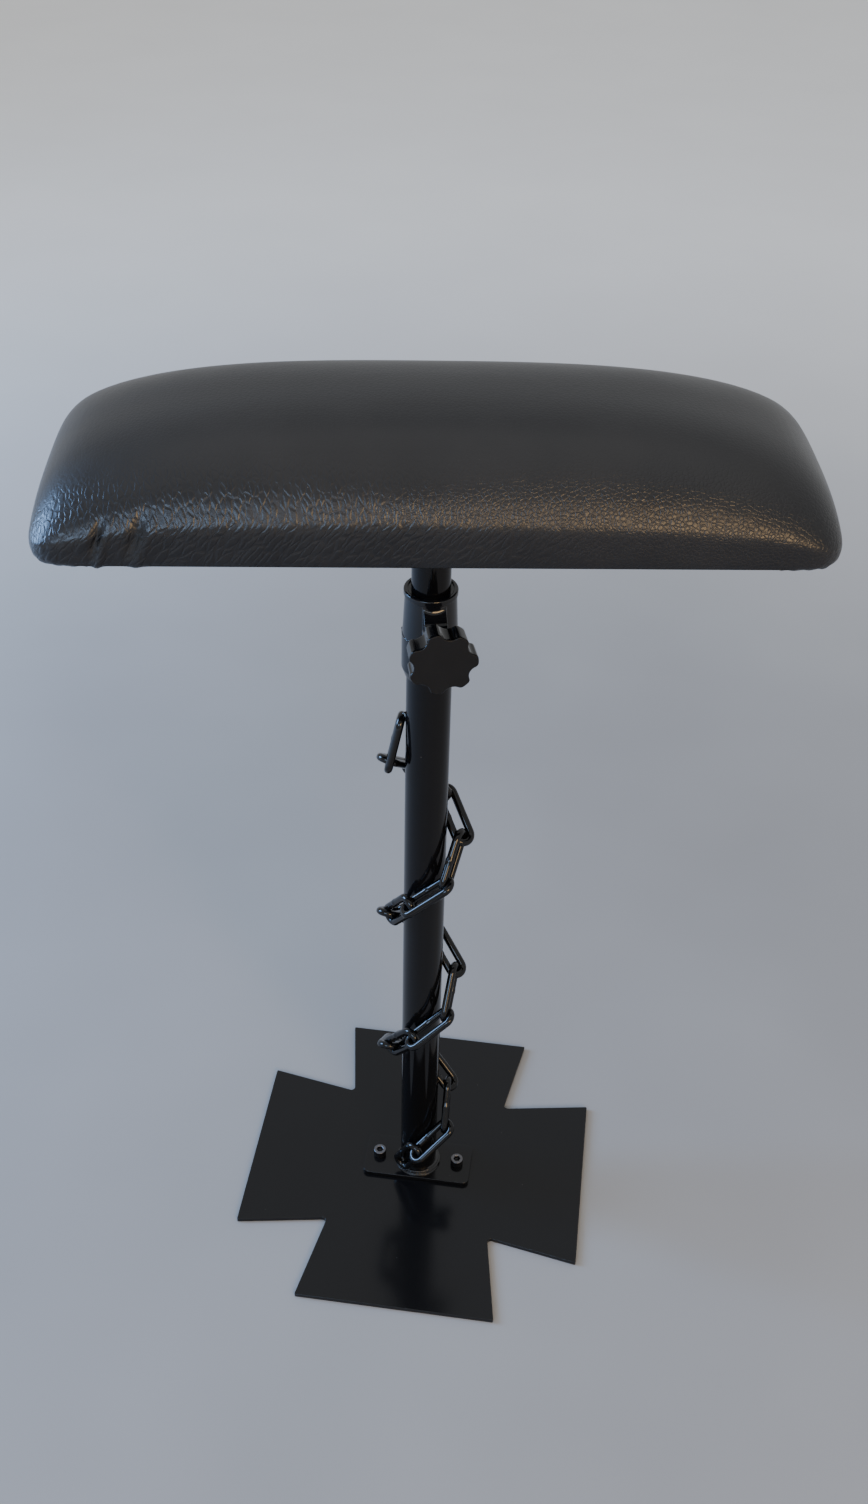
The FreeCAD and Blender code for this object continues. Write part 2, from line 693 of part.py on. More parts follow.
def link_solid():
    """Facets between rings of points, each ring square to the bar at one step round the link."""
    wire = size("link_wire / 2")
    bend = size("( link_inner_width + link_wire ) / 2")
    straight = size("link_length / 2") - wire - bend
    rings = []
    for end in (1, -1):
        for step in range(BEND_STEPS + 1):
            angle = math.radians(-90 + 180 * step / BEND_STEPS)
            outward = V(end * math.cos(angle), end * math.sin(angle), 0)
            centre = V(end * straight, 0, 0) + outward * bend
            ring = []
            for side in range(BAR_SIDES):
                around = 2 * math.pi * (side + 0.5) / BAR_SIDES
                ring.append(centre + outward * (wire * math.cos(around)) + UP * (wire * math.sin(around)))
            rings.append(ring)
    faces = []
    for i, ring in enumerate(rings):
        following = rings[(i + 1) % len(rings)]
        for j in range(BAR_SIDES):
            k = (j + 1) % BAR_SIDES
            faces.append(Part.Face(Part.makePolygon([ring[j], following[j], following[k], ring[k], ring[j]])))
    solid = Part.Solid(Part.makeShell(faces))
    if solid.Volume < 0:
        solid.reverse()
    return solid


def link_placement(radius, azimuth, height, climb, roll, lean):
    """Place a link: its length climbs round the tube, roll turns it about its length."""
    out = V(math.cos(math.radians(azimuth)), math.sin(math.radians(azimuth)), 0)
    round_way = UP.cross(out)
    rise = math.radians(climb)
    tilt = math.radians(lean)
    along = (round_way * math.cos(rise) + UP * math.sin(rise)) * math.cos(tilt) + out * math.sin(tilt)
    across = out.cross(along).normalize()
    square = along.cross(across)
    turn = math.radians(roll)
    width_way = across * math.cos(turn) + square * math.sin(turn)
    normal = along.cross(width_way)
    matrix = FreeCAD.Matrix(
        along.x, width_way.x, normal.x, out.x * radius,
        along.y, width_way.y, normal.y, out.y * radius,
        along.z, width_way.z, normal.z, height, 0, 0, 0, 1)
    return FreeCAD.Placement(matrix)


LINK_PITCH = "( link_length - 2 * link_wire )"
LAST_LINK_RISE = "last_link_rise_share * " + LINK_PITCH


def winding():
    """Rise, turn and climb of the winding from link to link. The rise spreads the links over
    their share of the height between foot weld and collar. The turn is that of links laid
    tangent to the tube end to end, less some slack."""
    radius = size(EDGE_LINK_RADIUS)
    room = size(COLLAR_BOTTOM + " - ( " + FLANGE_TOP + " ) - foot_weld_leg")
    rise = size("chain_height_share") * room - size(LAST_LINK_RISE)
    rise /= size("first_link_rise_share + link_count - 3")
    level = math.sqrt(size(LINK_PITCH) ** 2 - rise ** 2)
    turn = 2 * math.atan(size("link_turn_share") * level / (2 * radius))
    return rise, math.degrees(turn), math.degrees(math.atan2(rise, radius * turn))


def first_link_placement(azimuth, height, climb):
    return link_placement(
        size(EDGE_LINK_RADIUS + " - first_link_inset"), azimuth, height,
        climb + size("first_link_climb_angle"), size("first_link_roll_angle"), size("first_link_lean_angle"))


def last_link_placement(azimuth, height, climb):
    return link_placement(
        size(EDGE_LINK_RADIUS + " - last_link_inset"), azimuth, height,
        climb + size("last_link_climb_angle"), size("last_link_roll_angle"), size("last_link_lean_angle"))


def chain_placements(link):
    """Placements of all links. The first stands just above the weld at the tube's foot; the
    first and the last lie closer to the tube than the others and lean their ends against it."""
    rise, turn, climb = winding()
    radius = size(EDGE_LINK_RADIUS)
    azimuth = size("first_link_azimuth_angle")
    resting = link.copy()
    resting.Placement = first_link_placement(azimuth, 0, climb)
    height = size(FLANGE_TOP + " + foot_weld_leg + first_link_gap") - resting.BoundBox.ZMin
    places = [first_link_placement(azimuth, height, climb)]
    azimuth += turn * size("first_link_turn_share")
    height += rise * size("first_link_rise_share")
    for index in range(2, int(size("link_count"))):
        if index % 2:
            inset, climb_angle, roll = size("flat_link_inset"), size("flat_link_climb_angle"), 0
        else:
            inset, climb_angle, roll = 0, size("edge_link_climb_angle"), 90
        places.append(link_placement(radius - inset, azimuth, height, climb + climb_angle, roll, 0))
        azimuth += turn
        height += rise
    azimuth += turn * (size("last_link_turn_share") - 1)
    height += size(LAST_LINK_RISE) - rise
    places.append(last_link_placement(azimuth, height, climb))
    return places


def chain():
    link = link_solid()
    places = chain_placements(link)
    links = []
    for i, placement in enumerate(places):
        thing = grouped("chain_link_%02d" % (i + 1), [link])
        thing.Placement = placement
        links.append(thing)
    return links


def stand_welds(links):
    """Bead round the foot of the tube, and one at each end of the chain where its outermost
    link touches the tube. The end beads are faceted."""
    ring = foot_weld()
    tube_skin = Part.makeCylinder(size(TUBE_SKIN), size("tube_top"))
    beads = [ring]
    half_height = size("chain_weld_height / 2")
    for thing, way in ((links[0], -1), (links[-1], 1)):
        tip = thing.Placement.multVec(V(way * size("link_length / 2 - link_wire / 2"), 0, 0))
        seat = V(tip.x, tip.y, 0).normalize() * size(TUBE_SKIN)
        bead = prism(BAR_SIDES, size("chain_weld_radius"), tip.z - half_height, 2 * half_height)
        bead = moved(bead, seat).cut(tube_skin).cut(thing.Shape).cut(ring)
        beads.append(max(bead.Solids, key=lambda solid: solid.Volume))
    grouped("stand_welds", beads)


def build():
    fill_sheet()
    base_plate()
    flange_plate()
    foot_screws()
    tube("outer_tube", TUBE_SKIN, TUBE_BORE, FLANGE_TOP, "tube_top - ( %s )" % FLANGE_TOP)
    stand_welds(chain())
    lock_collar()
    threaded_insert()
    clamp_shoe()
    knob_stud()
    knob_head()
    tube("inner_post", POST_SKIN, POST_BORE, POST_BOTTOM, "post_length")
    post_plug()
    guide_bush()
    mount_plate()
    mount_screws()
    pad_board()
    pad_foam()
    pad_cover()
    dust_cover()
    doc.recompute()


def check_and_write():
    for thing in doc.Objects:
        if "Invalid" in thing.State or "Error" in thing.State:
            raise RuntimeError("%s did not compute: %s" % (thing.Name, thing.State))
    os.makedirs("parts", exist_ok=True)
    for thing in nodes:
        shape = thing.Shape
        if shape.isNull() or not shape.isValid() or not shape.Solids:
            raise RuntimeError(thing.Label + " has no valid solid")
        shape.exportStep("parts/%s.step" % thing.Label)
        print("%-18s %2d solids %9.0f mm3" % (thing.Label, len(shape.Solids), shape.Volume))


build()
check_and_write()
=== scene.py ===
import math

import bmesh
import bpy
import numpy as np
from mathutils import Matrix, Vector


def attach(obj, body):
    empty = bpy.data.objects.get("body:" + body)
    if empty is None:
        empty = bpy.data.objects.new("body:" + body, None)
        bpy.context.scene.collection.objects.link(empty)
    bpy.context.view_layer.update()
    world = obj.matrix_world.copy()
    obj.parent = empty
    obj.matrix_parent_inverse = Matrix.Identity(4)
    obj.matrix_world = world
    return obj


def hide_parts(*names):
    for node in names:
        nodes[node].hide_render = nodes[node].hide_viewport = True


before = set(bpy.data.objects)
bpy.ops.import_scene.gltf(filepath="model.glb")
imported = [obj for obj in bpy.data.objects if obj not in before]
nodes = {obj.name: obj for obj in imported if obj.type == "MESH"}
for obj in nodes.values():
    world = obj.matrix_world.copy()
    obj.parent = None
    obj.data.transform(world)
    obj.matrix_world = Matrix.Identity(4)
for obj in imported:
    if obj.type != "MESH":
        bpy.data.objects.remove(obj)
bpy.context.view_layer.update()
scene = bpy.context.scene
mm = 0.001  # the dictionaries below are in millimetres and degrees, the scene is in metres
print("frame loaded:", len(nodes), "nodes")


# Camera

photoView = {
    "place": (0.12776, -1.0327, 1.40657),  # metres
    "pitch": 38.63,  # below the horizon
    "roll": 1.484,
    "yaw": 6.74,
    "lens": 37.112,
}


def makeCamera(view):
    pitch, roll = math.radians(view["pitch"]), math.radians(view["roll"])
    ahead = Vector((0, math.cos(pitch), -math.sin(pitch)))
    right = Vector((1, 0, 0))
    up = right.cross(ahead)
    turn = Matrix.Rotation(math.radians(view["yaw"]), 3, "Z")
    axes = [
        right * math.cos(roll) + up * math.sin(roll),
        up * math.cos(roll) - right * math.sin(roll),
        -ahead,
    ]
    place = Matrix([turn @ axis for axis in axes]).transposed().to_4x4()
    place.translation = view["place"]
    camera = bpy.data.objects.new("photoCamera", bpy.data.cameras.new("photoCamera"))
    camera.data.lens = view["lens"]
    camera.matrix_world = place
    scene.collection.objects.link(camera)
    scene.camera = camera


makeCamera(photoView)


# Materials: a Wire is a socket whose operators add Math nodes, a Look is a material that grows them

class Wire:
    def __init__(self, look, socket):
        self.look = look
        self.socket = socket

    def math(self, operation, *values):
        return self.look.node("Math", {"operation": operation}, dict(enumerate(values)))

    def __add__(self, other):
        return self.math("ADD", self, other)

    def __radd__(self, other):
        return self.math("ADD", other, self)

    def __sub__(self, other):
        return self.math("SUBTRACT", self, other)

    def __rsub__(self, other):
        return self.math("SUBTRACT", other, self)

    def __mul__(self, other):
        return self.math("MULTIPLY", self, other)

    def __rmul__(self, other):
        return self.math("MULTIPLY", other, self)

    def __truediv__(self, other):
        return self.math("DIVIDE", self, other)

    def __rtruediv__(self, other):
        return self.math("DIVIDE", other, self)

    def __pow__(self, other):
        return self.math("POWER", self, other)

    def ramp(self, low, high, start=0.0, end=1.0):  # smooth step from start at low to end at high
        values = {"Value": self, "From Min": low, "From Max": high, "To Min": start, "To Max": end}
        return self.look.node("MapRange", {"interpolation_type": "SMOOTHSTEP"}, values)


class Look:
    def __init__(self, name, fixed):
        self.material = bpy.data.materials.new(name)
        self.material.use_nodes = True
        self.tree = self.material.node_tree
        self.shader = self.tree.nodes["Principled BSDF"]
        self.feed(fixed)

    def feed(self, values, target=None):
        for key, value in values.items():
            socket = (target or self.shader).inputs[key]
            if isinstance(value, Wire):
                self.tree.links.new(value.socket, socket)
            elif value is not None:
                socket.default_value = value

    def node(self, kind, settings, values, output=0):
        made = self.tree.nodes.new("ShaderNode" + kind)
        for key, value in settings.items():
            setattr(made, key, value)
        self.feed(values, made)
        return Wire(self, made.outputs[output])

    def turned(self, vector, turn, stretch=(1, 1, 1)):  # turned by degrees, then stretched
        angles = tuple(math.radians(angle) for angle in turn)
        turned = self.node("Mapping", {}, {"Vector": vector, "Rotation": angles})
        return self.node("VectorMath", {"operation": "MULTIPLY"}, {0: turned, 1: stretch})

    def place(self, origin=(0, 0, 0), turn=(0, 0, 0), stretch=(1, 1, 1)):
        # object coordinates, counted from the origin given, turned and stretched
        source = self.node("TexCoord", {}, {}, "Object")
        moved = self.node("VectorMath", {"operation": "SUBTRACT"}, {0: source, 1: origin})
        return self.turned(moved, turn, stretch)

    def noise(self, vector, scale, detail=2.0, roughness=0.5):
        values = {"Vector": vector, "Scale": scale, "Detail": detail, "Roughness": roughness}
        return self.node("TexNoise", {}, values)

    def cells(self, vector, scale, feature="F1"):
        return self.node("TexVoronoi", {"feature": feature}, {"Vector": vector, "Scale": scale})

    def tint(self, share, low, high):  # from low to high, each a colour or a wire
        ends = [end if isinstance(end, Wire) else (*end, 1) for end in (low, high)]
        return self.node("Mix", {"data_type": "RGBA"}, {0: share, 6: ends[0], 7: ends[1]}, 2)

    def dots(self, spot, scale, size, places):
        # small round dots in the middles of cells, only where a slower noise is high
        return self.cells(spot, scale).ramp(size, 0.03) * self.noise(spot, places).ramp(0.6, 0.66)

    def bump(self, height, depth, under=None):  # depth in millimetres for a height of 1
        values = {"Height": height, "Distance": depth * mm, "Strength": 1.0, "Normal": under}
        return self.node("Bump", {}, values)


def darker(tone, share):
    return tuple(part * share for part in tone)


dustTone = (0.2, 0.19, 0.18)
powderFilm = {  # scales are per metre, depths in millimetres
    "patches": 6, "grain": 420, "dark": 0.85,
    "dust": 110, "dustSize": 0.05, "dustPlaces": 27, "dustShare": 0.35,
}


def powderCoat(name, tone, rough, peel=0.012, gloss=0.5):
    # near-black polyester powder: an even satin film with faint orange peel and a few dust grains baked in
    film = powderFilm
    look = Look(name, {"Specular IOR Level": gloss})
    spot = look.place()
    patches = look.noise(spot, film["patches"]).ramp(0.3, 0.7)
    grain = look.noise(spot, film["grain"])
    dust = look.dots(spot, film["dust"], film["dustSize"], film["dustPlaces"])
    base = look.tint(patches, darker(tone, film["dark"]), tone)
    look.feed({
        "Base Color": look.tint(dust * film["dustShare"], base, dustTone),
        "Roughness": patches * 0.02 + grain * 0.03 + dust * 0.3 + (rough - 0.025),
        "Normal": look.bump(grain, peel),
    })
    return look


thickPaint = {
    "runs": 130, "grit": 480, "gritShare": 0.25, "depth": 0.05, "dark": 0.75,
    "fixed": {"Specular IOR Level": 0.26, "Coat Weight": 0.2, "Coat Roughness": 0.03},
}


def glossPaint(name, tone, rough):
    # thick black gloss paint: soft runs and a little grit caught in it
    paint = thickPaint
    look = Look(name, paint["fixed"])
    spot = look.place()
    runs = look.noise(spot, paint["runs"])
    grit = look.cells(spot, paint["grit"]).ramp(0.12, 0.02)
    look.feed({
        "Base Color": look.tint(runs, darker(tone, paint["dark"]), tone),
        "Roughness": runs * 0.08 + (rough - 0.04),
        "Normal": look.bump(runs + grit * paint["gritShare"], paint["depth"]),
    })
    return look


oxideFilm = {
    "oil": 180, "pits": 1500, "depth": 0.008, "rough": 0.22, "wearAndHighlightFrom": 0.5, "wearAndHighlightTo": 0.1,  # below the rim
    "toneDark": (0.012, 0.012, 0.013), "toneLight": (0.035, 0.035, 0.038), "toneWearAndHighlight": (0.13, 0.13, 0.14),
}


def blackOxide(name, rimHeight):
    # oily black film, lighter grey on the heads' tops and upper rims: partly wear, partly a painted highlight
    film = oxideFilm
    look = Look(name, {"Metallic": 0.75, "Specular IOR Level": 0.5})
    spot = look.place()
    oil = look.noise(spot, film["oil"], 3)
    high = look.node("SeparateXYZ", {}, {0: spot}, 2)
    # everything above this height on the heads is painted lighter: partly wear, partly a painted highlight on
    # their tops
    wearAndHighlight = high.ramp((rimHeight - film["wearAndHighlightFrom"]) * mm, (rimHeight - film["wearAndHighlightTo"]) * mm) * (0.5 + oil)
    look.feed({
        "Base Color": look.tint(wearAndHighlight, look.tint(oil, film["toneDark"], film["toneLight"]), film["toneWearAndHighlight"]),
        "Roughness": oil * 0.16 + film["rough"],
        "Normal": look.bump(look.noise(spot, film["pits"]), film["depth"]),
    })
    return look


nylonSkin = {"flow": 120, "flowStretch": 0.16, "sink": 60, "depth": 0.06, "dark": 0.8, "gloss": 0.42}


def mouldedNylon(name, tone, rough):
    # moulded black nylon: long faint flow lines down the part and a little sink
    skin = nylonSkin
    look = Look(name, {"Specular IOR Level": skin["gloss"]})
    flow = look.noise(look.place(stretch=(1, 1, skin["flowStretch"])), skin["flow"], 3)
    sink = look.noise(look.place(), skin["sink"], 1)
    look.feed({
        "Base Color": look.tint(flow, darker(tone, skin["dark"]), tone),
        "Roughness": flow * 0.07 + (rough - 0.03),
        "Normal": look.bump(sink * 0.7 + flow * 0.3, skin["depth"]),
    })
    return look


steelLook = powderCoat("powderCoatBlack", (0.0042, 0.0042, 0.0048), 0.15, 0.012, 0.38)
tubeLook = powderCoat("tubeBlack", (0.004, 0.004, 0.0046), 0.09, 0.012, 0.26)
postLook = powderCoat("postBlack", (0.003, 0.003, 0.0034), 0.1, 0.008, 0.24)
weldLook = powderCoat("weldBlack", (0.004, 0.004, 0.0045), 0.08, 0.02, 0.65)
chainLook = glossPaint("chainGlossBlack", (0.003, 0.003, 0.0034), 0.08)
screwLook = blackOxide("screwBlackOxide", 17.8)
collarLook = mouldedNylon("collarNylon", (0.006, 0.0064, 0.0078), 0.07)
print("hard materials made")


leather = {
    "gloss": 0.45, "rough": 0.35,
    "toneDark": (0.0048, 0.0049, 0.0062), "toneLight": (0.0078, 0.0077, 0.0088),
    "warp": 130, "warpReach": 3, "pebbles": 330, "wrinkles": 1500, "grainDepth": 0.2,
    "upright": (270, 10, 0.3), "slanted": (230, -40, 0.28),  # creases: scale, lean, how far drawn out
    "slack": 46, "slackDepth": 1.2, "hands": 14, "scuffs": 90,
    "dust": 120, "dustSize": 0.06, "dustPlaces": 46,
}


def leatherette(pad, skin):
    # pebble grain: warped cells with soft valleys and finer wrinkles over them. Where the skin is pulled,
    # towards the left of the front roll, the cells are drawn out upright, and on the front face they slant
    look = Look("padLeatherette", {"Specular IOR Level": skin["gloss"]})
    spot = look.place((pad["shift"] * mm, 0, pad["underside"] * mm), (0, 0, -pad["turn"]))
    along, depth, high = [look.node("SeparateXYZ", {}, {0: spot}, axis) for axis in range(3)]
    warp = look.node("TexNoise", {}, {"Vector": spot, "Scale": skin["warp"], "Detail": 2.0}, "Color")
    shift = look.node("VectorMath", {"operation": "SCALE"}, {0: warp, "Scale": skin["warpReach"] * mm})
    warped = look.node("VectorMath", {"operation": "ADD"}, {0: spot, 1: shift})

    def creases(scale, lean, drawn):
        drawnOut = look.turned(warped, (0, lean, 0), (1, 0.6, drawn))
        return look.cells(drawnOut, scale, "DISTANCE_TO_EDGE").ramp(0.0, 0.24)

    pebble = look.cells(warped, skin["pebbles"], "SMOOTH_F1")
    valley = look.cells(warped, skin["pebbles"], "DISTANCE_TO_EDGE").ramp(0.0, 0.2)
    upright, slanted = creases(*skin["upright"]), creases(*skin["slanted"])
    fine = look.noise(warped, skin["wrinkles"])
    # height over the pad's own crown at this place, 0 at the board and 1 on top
    share = along.math("ABSOLUTE", along) / (pad["length"] / 2 * mm)
    fall = share.math("MAXIMUM", 1 - share ** pad["endPowers"][0], 0)
    rise = (pad["height"] - pad["endHeight"]) * mm
    level = high / (fall ** (1 / pad["endPowers"][1]) * rise + pad["endHeight"] * mm)
    front = level.ramp(0.5, 0.36) * depth.ramp(-0.085, -0.1)
    roll = depth.ramp(-0.05, -0.085)
    height = valley * 0.7 + (1 - pebble) * 0.5
    height = height + (upright * 1.1 - height) * (along.ramp(0.1, -0.12) * roll)
    height = height + (slanted * 1.4 - height) * (along.ramp(0.2, -0.02) * front) + fine * 0.15
    height = height * level.ramp(0.92, 0.62, 0.35, 1.0)
    grain = look.bump(height, skin["grainDepth"])
    slack = look.noise(look.turned(spot, (0, -30, 0), (1, 1, 0.4)), skin["slack"])
    hand = look.noise(spot, skin["hands"], 3).ramp(0.35, 0.68)
    dust = look.dots(spot, skin["dust"], skin["dustSize"], skin["dustPlaces"])
    corner = along.ramp(0.235, 0.262) * high.ramp(0.045, 0.02) * depth.ramp(-0.08, -0.1)
    scuff = look.noise(spot, skin["scuffs"], 4, 0.7).ramp(0.6, 0.74) * corner
    tone = look.tint(hand, skin["toneDark"], skin["toneLight"])
    look.feed({
        "Base Color": look.tint(dust * 0.3 + scuff * 0.3, tone, dustTone),
        "Roughness": hand * 0.04 - height * 0.05 + dust * 0.2 + scuff * 0.2 + skin["rough"],
        "Normal": look.bump(slack * front, skin["slackDepth"], grain),
    })
    return look


# Surfaces: a shape is a grid of points, rows by columns, in millimetres

def shell(points, wrapRows=False, wrapColumns=True):
    # quads between neighbouring grid points, turned round if the volume that they enclose is negative
    rows, columns = points.shape[:2]
    row = np.arange(rows - (not wrapRows))[:, None]
    column = np.arange(columns - (not wrapColumns))[None, :]
    nextRow, nextColumn = (row + 1) % rows, (column + 1) % columns
    corners = [row * columns + column, row * columns + nextColumn,
               nextRow * columns + nextColumn, nextRow * columns + column]
    quads = np.stack(np.broadcast_arrays(*corners), -1).reshape(-1, 4)
    flat = points.reshape(-1, 3)
    a, b, c, d = flat[quads].transpose(1, 0, 2)
    volume = np.sum(a * np.cross(b, c)) + np.sum(a * np.cross(c, d))
    return flat, quads[:, ::-1] if volume < 0 else quads


def meshFrom(name, shells):
    starts = np.cumsum([0] + [len(flat) for flat, quads in shells[:-1]])
    points = np.concatenate([flat for flat, quads in shells]) * mm
    quads = np.concatenate([quads + start for (flat, quads), start in zip(shells, starts)])
    mesh = bpy.data.meshes.new(name)
    mesh.vertices.add(len(points))
    mesh.vertices.foreach_set("co", points.astype(np.float32).ravel())
    mesh.loops.add(quads.size)
    mesh.loops.foreach_set("vertex_index", quads.astype(np.int32).ravel())
    mesh.polygons.add(len(quads))
    mesh.polygons.foreach_set("loop_start", np.arange(0, quads.size, 4, dtype=np.int32))
    mesh.update(calc_edges=True)
    work = bmesh.new()
    work.from_mesh(mesh)
    bmesh.ops.remove_doubles(work, verts=work.verts, dist=0.002 * mm)
    work.to_mesh(mesh)
    work.free()
    mesh.shade_smooth()
    return mesh


def addPiece(name, shape, look, body, standsFor=(), crease=None):
    # the shape is a list of shells, or a mesh that is ready
    mesh = meshFrom(name, shape) if isinstance(shape, list) else shape
    piece = bpy.data.objects.new(name, mesh)
    scene.collection.objects.link(piece)
    mesh.materials.clear()
    mesh.materials.append(look.material)
    if crease:
        mesh.set_sharp_from_angle(angle=math.radians(crease))
    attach(piece, body)
    if standsFor:
        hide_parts(*standsFor)
    return piece


def roundedLine(corners, closed=False, steps=6, lead=0.12):
    # (x, y, radius) corners: each becomes an arc tangent to both its sides, with a point just beyond each end
    spots = np.array([corner[:2] for corner in corners], float)
    line = []
    for i, corner in enumerate(corners):
        radius = corner[2] if len(corner) > 2 else 0
        if radius == 0 or (not closed and i in (0, len(corners) - 1)):
            line.append(spots[i][None])
            continue
        back, ahead = spots[i - 1] - spots[i], spots[(i + 1) % len(spots)] - spots[i]
        backLength, aheadLength = np.linalg.norm(back), np.linalg.norm(ahead)
        back, ahead = back / backLength, ahead / aheadLength
        half = math.acos(max(-1, min(1, float(back @ ahead)))) / 2
        reach = radius / math.tan(half)
        middle = spots[i] + (back + ahead) / np.linalg.norm(back + ahead) * radius / math.sin(half)
        start, end = spots[i] + back * reach - middle, spots[i] + ahead * reach - middle
        swing = math.pi - 2 * half
        share = np.linspace(0, 1, steps + 1)[:, None]
        arc = middle + (np.sin((1 - share) * swing) * start + np.sin(share * swing) * end) / math.sin(swing)
        if lead and reach + lead < backLength / 2:
            line.append((spots[i] + back * (reach + lead))[None])
        line.append(arc)
        if lead and reach + lead < aheadLength / 2:
            line.append((spots[i] + ahead * (reach + lead))[None])
    return np.concatenate(line)


def refined(line, spacing):
    # the same line with points added so that none are further apart than the spacing
    parts = [line[:1]]
    for start, end in zip(line[:-1], line[1:]):
        count = max(1, math.ceil(np.linalg.norm(end - start) / spacing))
        parts.append(start + (end - start) * (np.arange(1, count + 1) / count)[:, None])
    return np.concatenate(parts)


def outwardOf(outline):
    # unit normals of a closed counter-clockwise outline, from the points on both sides of each
    along = np.roll(outline, -1, 0) - np.roll(outline, 1, 0)
    normal = np.stack([along[:, 1], -along[:, 0]], -1)
    return normal / np.linalg.norm(normal, axis=1, keepdims=True)


def polar(radius, angle, height):
    # x and y are the radius times the angle's cosine and sine
    return np.stack(np.broadcast_arrays(radius * np.cos(angle), radius * np.sin(angle), height), -1)


def evenly(count):
    # angles once round in equal steps
    return np.arange(count) * (2 * np.pi / count)


def lathe(profile, steps):
    # each (radius, height) of the profile goes once round the axis
    return polar(profile[:, :1], evenly(steps), profile[:, 1:])


def laid(outline, height):
    # the outline's points, all at one height
    return np.column_stack([outline, np.full(len(outline), height)])


def slab(outline, bottom, top, edge, steps=4):
    # an outline carried up from bottom to top, drawn in along its normals at both rounded edges and closed
    # to its middle
    normal = outwardOf(outline)
    turn = np.linspace(0, np.pi / 2, steps + 1)
    inset = edge * (1 - np.sin(turn))
    rise = edge * (1 - np.cos(turn))
    insets = np.concatenate([[edge * 1.4], inset, inset[::-1], [edge * 1.4]])
    heights = np.concatenate([[bottom], bottom + rise, top - rise[::-1], [top]])
    rows = [laid(outline - normal * i, h) for i, h in zip(insets, heights)]
    return np.stack([laid(outline * 0, bottom)] + rows + [laid(outline * 0, top)])


def turnedBy(points, degrees):
    c, s = math.cos(math.radians(degrees)), math.sin(math.radians(degrees))
    return points @ np.array([[c, s, 0], [-s, c, 0], [0, 0, 1]])


def onPost(points, pad):
    # from the pad's own frame, x along it and z up from its underside, into the stand's
    return turnedBy(points, pad["turn"]) + (0, 0, pad["underside"])


def facing(points, azimuth, origin=(0, 0, 0)):
    # local x to the right, y up, z outwards along the azimuth
    c, s = math.cos(math.radians(azimuth)), math.sin(math.radians(azimuth))
    return points @ np.array([[-s, c, 0], [0, 0, 1], [c, s, 0]]) + np.array(origin)


def softMin(a, b, blend):
    return np.minimum(a, b) - np.maximum(blend - np.abs(a - b), 0) ** 2 / (4 * blend)


def softMax(a, b, blend):
    return -softMin(-a, -b, blend)


# Foot: cross-shaped plate, flange, screws and weld

footPlate = {
    "thickness": 4.8, "reach": 177.8, "tipHalf": 100.8, "rootHalf": 84.5,
    "rootRound": 4.0, "tipRound": 1.2, "edge": 0.5, "spacing": 12,
}


def makeFootPlate(plate):
    # four flared arms, one quarter of the outline turned four times
    quarter = [
        (plate["reach"], -plate["tipHalf"], plate["tipRound"]),
        (plate["reach"], plate["tipHalf"], plate["tipRound"]),
        (plate["rootHalf"], plate["rootHalf"], plate["rootRound"]),
    ]
    corners = []
    for turn in range(4):
        c, s = round(math.cos(turn * math.pi / 2)), round(math.sin(turn * math.pi / 2))
        corners += [(x * c - y * s, x * s + y * c, r) for x, y, r in quarter]
    line = roundedLine(corners, True, 8, 0.4)
    outline = refined(np.vstack([line, line[:1]]), plate["spacing"])[:-1]
    plateShell = shell(slab(outline, 0, plate["thickness"], plate["edge"]))
    addPiece("footPlate", [plateShell], steelLook, "stand", ["base_plate"], 40)


def rectangle(length, depth, corner):
    x, y = length / 2, depth / 2
    return roundedLine([(x, -y, corner), (x, y, corner), (-x, y, corner), (-x, -y, corner)], True, 10, 0.4)


footFlange = {"length": 114, "depth": 50, "bottom": 4.8, "top": 9.8, "corner": 6, "edge": 0.7}
footScrew = {
    "spacing": 84, "headRadius": 6.5, "bottom": 9.8, "top": 17.8, "socket": 6.0, "socketDepth": 4.0,
    "rim": 0.7, "ridges": 48, "ridgeDepth": 0.13, "shankRadius": 4.0, "shankEnd": 0.6, "socketTurn": 0.3,
    "drillPoint": 1.2, "points": 288,
}


def makeFlange(flange):
    outline = rectangle(flange["length"], flange["depth"], flange["corner"])
    flangeShell = shell(slab(outline, flange["bottom"], flange["top"], flange["edge"]))
    addPiece("footFlange", [flangeShell], steelLook, "stand", ["flange_plate"], 40)


def hexRadius(angle, width):
    # distance from the middle of a hexagon to its side in a direction
    sector = (angle + np.pi / 6) % (np.pi / 3) - np.pi / 6
    return width / 2 / np.cos(sector)


def socketScrew(screw, x):
    # rings of points: shank, knurled side of the head, rounded rim, chamfer into the hexagonal socket, cone
    angle = evenly(screw["points"])
    circle = np.ones_like(angle)
    hexagon = hexRadius(angle + screw["socketTurn"], screw["socket"])
    head, rim, bottom, top = screw["headRadius"], screw["rim"], screw["bottom"], screw["top"]
    floor = top - screw["socketDepth"]
    ridge = np.abs(np.sin(angle * screw["ridges"] / 2)) ** 0.7 * screw["ridgeDepth"]
    rows = [(circle * 0, screw["shankEnd"]), (circle * screw["shankRadius"], screw["shankEnd"]),
            (circle * screw["shankRadius"], bottom), (circle * (head - 0.25), bottom),
            (circle * (head - 0.1), bottom + 0.3), (circle * head - 0.05, bottom + 0.6)]
    rows += [(circle * head - ridge, z) for z in np.linspace(bottom + 0.9, top - rim - 0.9, 6)]
    rows += [(circle * head - 0.05, top - rim - 0.6)]
    turn = np.linspace(0, np.pi / 2, 6)
    rows += [(circle * (head - 0.05 - rim * (1 - math.cos(t))), top - rim * (1 - math.sin(t))) for t in turn]
    rows += [(circle * (head - rim - 0.3), top), (hexagon + 0.55, top), (hexagon + 0.45, top - 0.05),
             (hexagon + 0.05, top - 0.45), (hexagon, top - 0.6), (hexagon, floor + 0.1),
             (hexagon * 0.96, floor), (circle * 0, floor - screw["drillPoint"])]
    return np.stack([polar(radius, angle, height) for radius, height in rows]) + (x, 0, 0)


